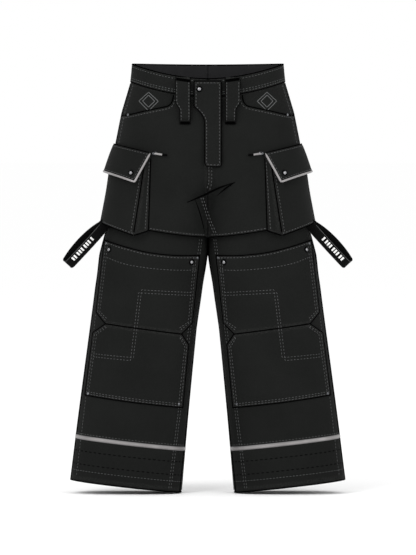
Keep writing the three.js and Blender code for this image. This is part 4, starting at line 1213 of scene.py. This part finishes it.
# painted glow: the fade darkens the band from its bright middle towards its edges
glow_fade = np.abs(np.linspace(-1, 1, 11)) ** 1.6
band.wear_and_glow_fade = [np.tile(np.repeat(glow_fade[:, None], band_grid.shape[1] - 1, 1).ravel(), 2)]
pair("reflective_band", band, REFLECTIVE, "leg", slot="reflective_tape")

# ---- webbing loops at the sides ----
STRAP_TOP = np.array([-259.0, -38.0, -400.0])
STRAP_SPLAY = math.radians(43.5)
STRAP_TWIST = math.radians(30.0)
STRAP_LENGTH = 132.0
STRAP_WIDTH = 28.0
STRAP_HALF = 9.5
STRAP_BOW = 25.0  # the back run bows away from the front one
STRAP_ROOT = 16.0  # the sewn end runs this far up behind the pocket


def turned(points, axis, angle):
    c, s = math.cos(angle), math.sin(angle)
    m = {
        "x": [[1, 0, 0], [0, c, -s], [0, s, c]],
        "y": [[c, 0, s], [0, 1, 0], [-s, 0, c]],
        "z": [[c, -s, 0], [s, c, 0], [0, 0, 1]],
    }[axis]
    return points @ np.array(m).T


def strap_place(points):
    """From the strap's own axes (across the gap, along the run, over its width) to its place."""
    p = turned(np.asarray(points, float), "x", math.pi / 2)
    p = turned(p, "z", STRAP_TWIST + math.pi / 2)
    return turned(p, "y", STRAP_SPLAY) + STRAP_TOP


def strap_path(half, top, low):
    def bezier(a, b, c, d, steps):
        t = np.linspace(0, 1, steps, endpoint=False)[:, None]
        a, b, c, d = map(np.array, (a, b, c, d))
        return a * (1 - t) ** 3 + 3 * b * t * (1 - t) ** 2 + 3 * c * t * t * (1 - t) + d * t**3
    shoulder = top * 0.7 + low * 0.3
    runs = [
        bezier((half * 0.5, top), (STRAP_BOW, top - 35), (STRAP_BOW, low + 45), (half, low + half), 30),
        bezier((half, low + half), (half, low), (-half, low), (-half, low + half), 16),
        bezier((-half, low + half), (-half, low + 30), (-half, shoulder), (-half * 0.5, top), 30),
    ]
    return np.vstack(runs + [[(-half * 0.5, top)]])


path = dense(np.vstack([[(4.0, STRAP_ROOT)], strap_path(STRAP_HALF, 0.0, 1 - STRAP_LENGTH),
                        [(-4.0, STRAP_ROOT)]]).astype(float), 2.5)
across = np.concatenate([[-1.0, -0.96], np.linspace(-0.9, 0.9, 11), [0.96, 1.0]])
strap_grid = np.array([[(a, b, w * STRAP_WIDTH / 2) for a, b in path] for w in across])
tangent = unit(np.gradient(path, axis=0))
out = np.stack([-tangent[:, 1], tangent[:, 0], np.zeros(len(path))], 1)
centre_out = np.sign((out[:, :2] * (path - path.mean(0))).sum())
strap_normals = np.repeat((out * centre_out)[None], len(across), 0)
strap_grid = strap_grid + strap_normals * 1.0
placed = strap_place(strap_grid.reshape(-1, 3)).reshape(strap_grid.shape)
direction = strap_place(strap_normals.reshape(-1, 3)).reshape(strap_grid.shape) - STRAP_TOP
strap = slab(placed, 2.0, direction)
pair("strap_loop", strap, WEBBING, "webbing_loop", slot="webbing")

# plain white bars across the run that faces forward
BAR_COUNT, BAR_FROM, BAR_PITCH = 9, -42, 8.4
bars = Cloth()
front_sign = 1.0 if direction[7, 4, 1] < 0 else -1.0
run_front = path if front_sign > 0 else path[::-1]
for k in range(BAR_COUNT):
    spot_at = BAR_FROM - k * BAR_PITCH
    i = int(np.argmin(np.abs(run_front[: len(path) // 2, 1] - spot_at)))
    a, b = run_front[i]
    o = (out * centre_out)[i if front_sign > 0 else len(path) - 1 - i]
    span = np.linspace(-9.5, 2.5, 7)
    rows_of = np.array([[(a + o[0] * 1.6, b + dz, w) for w in span] for dz in (-2.3, -1.4, 1.4, 2.3)])
    spots = strap_place(rows_of.reshape(-1, 3)).reshape(rows_of.shape)
    facing_way = strap_place(np.array([o])) - STRAP_TOP
    bars.join(slab(spots, 0.5, np.zeros_like(spots) + facing_way))
pair("strap_bars", bars, WHITE_THREAD, "webbing_loop", slot="webbing")

# ---- seam edges and stitching: the seam edges are near-black cords, real raised edges painted black for the shade in their folds ----
DOUBLE_ROW = (5.0, 10.0)  # a double row's distances from its edge
TWIN_ROW = (0.0, 5.5)  # a twin row's shifts sideways
body_seams, body_stitches = Cloth(), Cloth()
leg_seams, leg_stitches, leg_dark = Cloth(), Cloth(), Cloth()
flap_seams, flap_stitches = Cloth(), Cloth()
PANEL_TOP = 0.3


def body_stitch(points, offset=0.0, back=False):
    stitch(body_stitches, on_front(OUTER, points, offset, back))


# waistband
cord(body_seams, round_line(OUTER, 0.0, 1.0, band_low_at, BAND_PROUD - 0.6), 3.2)
# a black round cord along the band's top edge: painted shade outlining it
tube(body_seams, round_line(OUTER, 0.0, 1.0, lambda x, y: band_top_at(x, y) - 0.4, 0.2)[0], 2.1, 8)
for edge, away in ((band_top_at, -6.5), (band_low_at, 4.5), (band_low_at, 9.5)):
    stitch(body_stitches, round_line(OUTER, 0.02, 0.995, lambda x, y: edge(x, y) + away, BAND_PROUD))
# yoke
cord(body_seams, round_line(OUTER, 0.52, 0.999, yoke_at, PANEL_TOP), 3.0)
for drop in (-4.5, -9.5):
    stitch(body_stitches, round_line(OUTER, 0.52, 0.995, lambda x, y: yoke_at(x) + drop, 0.0))
# scoop pocket
cord(body_seams, on_front(OUTER, SCOOP[:-2], PANEL_TOP), 3.2)
body_stitch(shifted(SCOOP[2:-2], -6.0))
# side seams
side_z = np.linspace(-47, -385, 150)
side_line = OUTER.at(OUTER.side(side_z), side_z, PANEL_TOP)
cord(body_seams, side_line, 3.2)
for shift_q in (-0.012, 0.012):
    side_z2 = np.linspace(-50, -196, 70)
    stitch(body_stitches, OUTER.at(OUTER.side(side_z2) + shift_q, side_z2))
edge_z = np.linspace(-50, -196, 80)
# 1.5 mm inside the outer layer's outline a black cord, painted shade along its side; 8 mm in, a row of
# stitches
for inward, kind in ((1.5, "cord"), (8.0, "stitch")):
    reach_out = section_lookup(OUTER_TABLE)(edge_z)[0] - inward
    line = OUTER.at(OUTER.q_at(-reach_out, edge_z), edge_z, 0.2)
    cord(body_seams, line, 3.0) if kind == "cord" else stitch(body_stitches, line)
# hem of the outer layer
stitch(body_stitches, round_line(OUTER, 0.02, 0.98, lambda x, y: hem_at(x) + 6.0))
cord(body_seams, round_line(OUTER, 0.01, 0.99, lambda x, y: hem_at(x) + 1.0, -0.2), 2.8)
# back pocket
cord(body_seams, on_front(OUTER, [(-165, -136), (-166, -246), (-108, -272), (-45, -258), (-45, -148)],
                          2.0, back=True), 2.2)
for inset in DOUBLE_ROW:
    body_stitch([(-165 + inset, -144), (-165 + inset, -246 + inset * 0.7), (-108, -272 + inset),
                 (-46 - inset, -258 + inset * 0.7), (-46 - inset, -152)], 2.2, back=True)
for z in (-144, -150):
    body_stitch([(-158, z), (-50, z - 11)], 2.2, back=True)
# belt loops
def on_loop(x, z, lift=0.0):
    """A line on the front belt loop, which stands off the cloth."""
    height = np.array([loop_height(v) for v in z]) + lift
    y = front_y(OUTER_TABLE, height, x, z)
    return np.stack([x, y, z], 1), np.tile([0.0, -1, 0], (len(z), 1))


for inward, lift, z in ((0.5, -0.5, np.linspace(LOOP_TOP, LOOP_LOW, 60)),
                        (3.6, 0.0, np.linspace(LOOP_TOP - 12, LOOP_LOW + 10, 50))):
    for x in (np.array([loop_outer(v) for v in z]) + inward, np.full(len(z), LOOP_INNER - inward)):
        line = on_loop(x, z, lift)
        cord(body_seams, line, 2.0) if lift else stitch(body_stitches, line)
# black bars over the ends of the front belt loops: bartacks, coloured black as the painted shade of the
# loop's fold
loop_bartack_shades = Cloth()
for z0, slant, x0 in ((-32.5, -5.0, -78), (-140.5, 0.0, -67.5)):
    for k in range(5):
        t = np.linspace(0, 1, 14)
        cord(loop_bartack_shades, on_loop(x0 + (-44.5 - x0) * t, z0 - 1.5 * k + slant * t, 0.2), 1.7)
pair("loop_bartacks_painted_shade", loop_bartack_shades, BLACK_SHADE_AND_THREAD, slot="webbing")
back_bars = Cloth()
for left_x in (-122.0, -11.0):
    for z0 in (-9.5, -61.5):
        for k in range(3):
            x = np.linspace(left_x, left_x + 22, 12)
            z = np.full(12, z0 - 1.5 * k)
            y = 2 * section_lookup(OUTER_TABLE)(z)[3] - front_y(OUTER_TABLE, 4.4, x, z)
            cord(back_bars, (np.stack([x, y, z], 1), np.tile([0.0, 1, 0], (12, 1))), 1.5)
pair("back_bartacks", back_bars, BLACK_SHADE_AND_THREAD, slot="webbing")
# cargo pocket
pocket_z = np.linspace(-232, -413, 70)
face_z = (pocket_z, bulge(pocket_z))
cord(body_seams, OUTER.at(face_front(pocket_z) + 0.002, *face_z), 3.2)
foot_z = np.linspace(-232, -409, 70)
cord(body_seams, OUTER.at(OUTER.q_at(foot_edge(foot_z) + 0.6, foot_z), foot_z, 0.8), 3.2)
cord(body_seams, (wall[:, -1] + [0, -0.4, 0.5], np.tile([0.3, -1.0, -0.2], (9, 1))), 3.2)
stitch(body_stitches, OUTER.at(face_front(pocket_z) + 0.012, *face_z))
stitch(body_stitches, (wall[2, 4:-2] + [0, -0.5, 0], np.tile([0.5, -0.8, 0], (54, 1))))
for inset, kind in ((0.8, "cord"), (5.5, "stitch")):
    q, z = across_to(face_front, pocket_back, lambda x: pocket_bottom(x) + inset, bulge,
                     np.linspace(0.01, 0.99, 60), POCKET_LOW)
    line = OUTER.at(q, z, bulge(z))
    cord(body_seams, line, 3.0) if kind == "cord" else stitch(body_stitches, line)
back_line_z = np.linspace(-222, -400, 60)
cord(body_seams, OUTER.at(pocket_back(back_line_z) - 0.0005, back_line_z, bulge(back_line_z)), 3.0)
stitch(body_stitches, OUTER.at(pocket_back(back_line_z) - 0.009, back_line_z, bulge(back_line_z)))
# flaps
stitch(flap_stitches, flap_edge(7.0, 0.1, start=-224.0))
cord(flap_seams, flap_edge(4.0, 0.0, start=-222.0), 1.8)


def flap_top_line(drop, offset):
    q, z = across_to(flap_column, FLAP_BACK, lambda x: flap_seam(x) + drop, flare,
                     np.linspace(0.02, 0.98, 70), -205.0, turns=10)
    return OUTER.at(q, z, flare(z) + offset)


cord(flap_seams, flap_top_line(-0.5, -0.2), 3.2)
stitch(flap_stitches, flap_top_line(-5.5, 0.1))

# fly shield
shield_seams, shield_stitches = Cloth(), Cloth()


def shield_outline(inset):
    down = np.linspace(SHIELD_TOP - inset, SHIELD_LOW + 2 + inset, 70)
    left = [(shield_left(z) + inset, z) for z in down]
    low = [(shield_left(SHIELD_LOW) + inset + 6, SHIELD_LOW + inset), (30 - inset, SHIELD_LOW + inset)]
    right = [(34 - inset, z) for z in np.linspace(SHIELD_LOW + 4 + inset, SHIELD_TOP - inset, 40)]
    return left + low + right + [(-34 + inset, SHIELD_TOP - inset)]


cord(shield_seams, middle_front(shield_outline(0.8), SHIELD_STAND - 0.5), 3.0)
stitch(shield_stitches, middle_front(shield_outline(5.2), SHIELD_STAND))
single("fly_shield_seams", shield_seams, BLACK_SHADE_AND_THREAD, "fly_shield")
single("fly_shield_stitches", shield_stitches, THREAD, "fly_shield")

# legs
SIDE_END, INNER_END = -1026.0, -1056.0
# a black strip just inside the leg's outline on each side: painted shade where the leg turns away
SHADE_RIM_INSET, SHADE_RIM_WIDTH = 1.8, 6.0
HALF_STRIP = [(-14.5, -430), (-91.3, -1050)]
for sideways in TWIN_ROW:
    line = np.array(HALF_STRIP) - [sideways, 0]
    stitch(leg_stitches, on_front(LEGS, line))
outer_row = [(-262, -425), (-272, -503), (-332, -1000), (-334, -1017)]
stitch(leg_stitches, on_front(LEGS, np.array(outer_row) + [9, 0]))
side_z = np.linspace(-380, SIDE_END, 240)
inner_z = np.linspace(-380, INNER_END, 240)
cord(leg_seams, LEGS.at(LEGS.side(side_z), side_z, PANEL_TOP), 3.2)
cord(leg_seams, LEGS.at(np.zeros(240) + 0.001, inner_z, PANEL_TOP), 3.2)
for dq in (0.008, 0.016):
    stitch(leg_stitches, LEGS.at(LEGS.side(side_z) + dq, side_z))
for end, side in ((SIDE_END, 0), (INNER_END, 1)):
    rim_z = np.linspace(-400, end, 200)
    reach = section_lookup(LEG_TABLE)(rim_z)[side]
    rim_x = SHADE_RIM_INSET - reach if side == 0 else reach - SHADE_RIM_INSET
    cord(leg_seams, LEGS.at(LEGS.q_at(rim_x, rim_z), rim_z, 0.2), SHADE_RIM_WIDTH, rise=1.2)


def leg_stitch(points):
    stitch(leg_stitches, on_front(LEGS, points, PATCH_STAND))


for edge in (UPPER_TOP + [0, -1], UPPER_INNER[1:], UPPER_OUTER[1:], LOWER_INNER, LOWER_OUTER,
             LOWER_LOW + [0, 1]):
    cord(leg_seams, on_front(LEGS, edge, PATCH_STAND - 0.2), 3.0)
cord(leg_seams, on_front(LEGS, KNEE_SEAM, PATCH_STAND - 0.6), 3.4)
leg_stitch(UPPER_TOP[2:-2] + [0, -6])
leg_stitch(curved([(-250, -477), (-205, -492), (-145, -502), (-80, -507), (-27, -507)]))
for inset in DOUBLE_ROW:
    leg_stitch([(-24 - inset, -474), (-38 - inset, -636), (-65 - inset * 0.6, -661 + inset)])
    leg_stitch([(-257 + inset, -440), (-276.8 + inset, -611), (-254 + inset * 0.5, -638 + inset)])
    leg_stitch([(-66 - inset * 0.4, -668 - inset * 0.5), (-47 - inset, -694 - inset * 0.3),
                (-61.8 - inset, -848 + inset)])
    leg_stitch([(-253 + inset * 0.4, -643 - inset * 0.5), (-284.7 + inset, -664 - inset * 0.3),
                (-304.5 + inset, -819 + inset)])
    leg_stitch(LOWER_LOW[3:-3] + [0, inset])
ZIGZAG = np.array([(-40, -562.7), (-163.2, -555.5), (-183.5, -722.9), (-284, -715)])
ZIGZAG_STEP = np.array([(0, -7.4), (-7.4, -7.4), (-7.4, -7.4), (0, -7.4)])
leg_stitch(ZIGZAG)
leg_stitch(ZIGZAG + ZIGZAG_STEP)
for drop in (-9.0, 82.0):
    stitch(leg_stitches, leg_line(drop))
for drop in (33.0, 66.0):
    stitch(leg_dark, leg_line(drop), scale=1.5)
cord(leg_seams, round_line(LEGS, 0.0, 1.0, lambda x, y: leg_hem(x) + 1.2), 3.2)

for kind, body, seams, stitches, slot in (
    ("body", "trousers", body_seams, body_stitches, "outer_cloth"),
    ("flap", "cargo_flap", flap_seams, flap_stitches, "pocket_cloth"),
    ("leg", "leg", leg_seams, leg_stitches, "outer_cloth"),
):
    pair(f"{kind}_seams", seams, BLACK_SHADE_AND_THREAD, body, slot)
    pair(f"{kind}_stitches", stitches, THREAD, body, slot)
pair("leg_hem_stitches", leg_dark, BLACK_SHADE_AND_THREAD, "leg")

# the middle of the front, under the shield: seam, double row, creases; the creases are raised black tapered
# cords, a painted shade in the folds
middle_crease_shades, middle_stitches = Cloth(), Cloth()
DOUBLE_ROWS = (
    [(2.5, -249), (2.5, -288), (-2, -306)], [(10, -249), (9, -292), (4, -310)],
)
CREASE_SHADES = (
    ([(-51.6, -339.8), (-10, -322), (25, -305), (67.5, -289.2)], 5.0),
    ([(67.5, -289.2), (44, -305), (20.3, -324.9)], 3.6),
    ([(-31.7, -332), (-24, -352), (-14, -385), (-6, -421)], 2.6),
)
for points in DOUBLE_ROWS:
    stitch(middle_stitches, middle_front(curved(points), 0.4))
for points, widest in CREASE_SHADES:
    line = curved(points)
    cord(middle_crease_shades, middle_front(line, 0.3), widest, rise=1.2,
         taper=lambda s, w=widest: 0.5 + (w - 0.5) * math.sin(math.pi * min(1, s + 0.05)) ** 0.8)
for sideways in TWIN_ROW:
    line = curved([(-17.9 + sideways, -326), (-10 + sideways, -350), (2 + sideways, -385),
                   (15.4 + sideways, -416)])
    stitch(middle_stitches, middle_front(line, 0.4))
single("front_crease_shades", middle_crease_shades, BLACK_SHADE_AND_THREAD)
single("front_middle_stitches", middle_stitches, THREAD)

# ---- rivets, emblem, painted highlights along the strap's edges ----
body_rivets, leg_rivets = Cloth(), Cloth()
lathe(body_rivets, *layer_spot(OUTER, -197, -124.5, 0.4), RIVET)
for x, z in ((-251.5, -442.4), (-24.5, -477.4), (-296.6, -813.9), (-70.7, -839.2)):
    lathe(leg_rivets, *layer_spot(LEGS, x, z, PATCH_STAND + 0.1), RIVET)
pair("pocket_rivets", body_rivets, GUNMETAL, slot="snap_metal")
pair("patch_rivets", leg_rivets, GUNMETAL, "leg", slot="snap_metal")

EMBLEM_X, EMBLEM_Z = -146, -90
EMBLEM_TOP = -68  # the waistband covers what would be higher
emblem = Cloth()
for size in (24.0, 15.0):
    corners = [(0, size), (-size, 0), (0, -size), (size, 0), (0, size)]
    ring = [(EMBLEM_X + x, min(EMBLEM_Z + z, EMBLEM_TOP)) for x, z in corners]
    cord(emblem, on_front(OUTER, ring, -1.9), 2.2)
pair("pocket_emblem", emblem, THREAD, slot="pocket_cloth")

strap_highlight_lines = Cloth()
# thin grey cords along both edges of the strap: a painted edge highlight, in thread colour
for w in (-0.96, 0.96):
    row = placed[int(np.argmin(np.abs(across - w)))][:-8]
    way = direction[0][:-8]
    cord(strap_highlight_lines, (row + way * 0.1, way), width=0.9, rise=0.5)
pair("strap_edge_highlights", strap_highlight_lines, THREAD, "webbing_loop", slot="webbing")

# ---- pocket zip pull: a cord tab with a black tip, on a small ring ----
pull_low, pull_high = [np.array(v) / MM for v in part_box("cargo_zip_pull_right")]
pull_from = np.array([pull_low[0] + 2, pull_high[1] - 2.6, (pull_low[2] + pull_high[2]) / 2])
pull_to = np.array([pull_high[0], pull_low[1] + 2.6, pull_low[2] - 2.0])
pull, pull_tip, pull_ring = Cloth(), Cloth(), Cloth()
t = np.linspace(0, 0.62, 14)[:, None]
tube(pull, pull_from + (pull_to - pull_from) * t,
     lambda s: 1.4 + 1.2 * math.sin(math.pi * min(0.5, s)) ** 0.6)
t = np.linspace(0.6, 1.0, 14)[:, None]
tube(pull_tip, pull_from + (pull_to - pull_from) * t,
     lambda s: 2.9 * min(1.0, 0.75 + s * 4) * min(1.0, 0.45 + (1 - s) * 6))
turn = np.linspace(0, 2 * math.pi, 25)
ring_shape = np.stack([3.6 * np.cos(turn) - 1.5, 0.3 * np.cos(turn) - 1.2, 3.6 * np.sin(turn)], 1)
tube(pull_ring, pull_from + ring_shape, 0.8, 8)
pair("cargo_zip_cord", pull, REFLECTIVE, "cargo_zip_pull", "reflective_tape", ["cargo_zip_pull"])
pair("cargo_zip_tip", pull_tip, DARK_METAL, "cargo_zip_pull", "snap_metal")
pair("cargo_zip_ring", pull_ring, DARK_METAL, "cargo_zip_pull", "snap_metal")

# ---- CAD pieces that stay: metal ----
for name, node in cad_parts.items():
    if any(word in name for word in ("stud", "slider", "chain", "zip_pull")):
        chosen = DARK_METAL if "stud" in name else GUNMETAL
        if not node.material_slots:
            node.data.materials.append(chosen)
        for part in node.material_slots:
            part.material = chosen


# ---- studio ----
FLOOR_LEVEL = -1063.0
FLOOR_REACH = 60000.0
FLOOR_SIDES = 96


def backdrop_material():
    n = Nodes("studio_paper")
    colour = n.mix(n.noise(n.where(), 60.0, 3.0), shade(253, 253, 253), shade(255, 255, 255))
    return n.set(Base_Color=colour, Roughness=0.95, Specular_IOR_Level=0.0)


def backdrop():
    """A wide round floor, so that it runs out to the horizon on every side."""
    turn = np.linspace(0, 2 * math.pi, FLOOR_SIDES, endpoint=False)
    rings = [FLOOR_REACH * share for share in (0.01, 0.03, 0.1, 0.3, 1.0)]
    grid = np.array([[(r * math.cos(w), r * math.sin(w), FLOOR_LEVEL) for w in turn] for r in rings])
    faces = [list(range(FLOOR_SIDES))]
    for ring in range(len(rings) - 1):
        for k in range(FLOOR_SIDES):
            a = ring * FLOOR_SIDES + k
            b = ring * FLOOR_SIDES + (k + 1) % FLOOR_SIDES
            faces.append([a, a + FLOOR_SIDES, b + FLOOR_SIDES, b])
    floor = Cloth().add(grid.reshape(-1, 3), faces, None)
    link("studio_floor", floor, backdrop_material())


backdrop()


def area_light(name, location, target, size, power):
    data = bpy.data.lights.new(name, "AREA")
    data.shape = "RECTANGLE"
    data.size, data.size_y = size
    data.energy = power
    light = bpy.data.objects.new(name, data)
    bpy.context.scene.collection.objects.link(light)
    light.location = location
    way = np.array(target) - np.array(location)
    flat_way = math.hypot(way[0], way[1])
    light.rotation_euler = (math.atan2(flat_way, -way[2]), 0, math.atan2(way[1], way[0]) - math.pi / 2)


area_light("key", (-2.6, -4.2, 2.2), (0, 0, -0.5), (3.0, 3.0), 145)
area_light("fill", (3.2, -3.8, 0.8), (0, 0, -0.5), (3.0, 3.0), 90)
world = bpy.data.worlds.new("studio_world")
world.use_nodes = True
background = world.node_tree.nodes["Background"]
background.inputs["Color"].default_value = (1.0, 1.0, 1.0, 1.0)
background.inputs["Strength"].default_value = 1.0
bpy.context.scene.world = world
bpy.context.scene.view_settings.view_transform = "Standard"
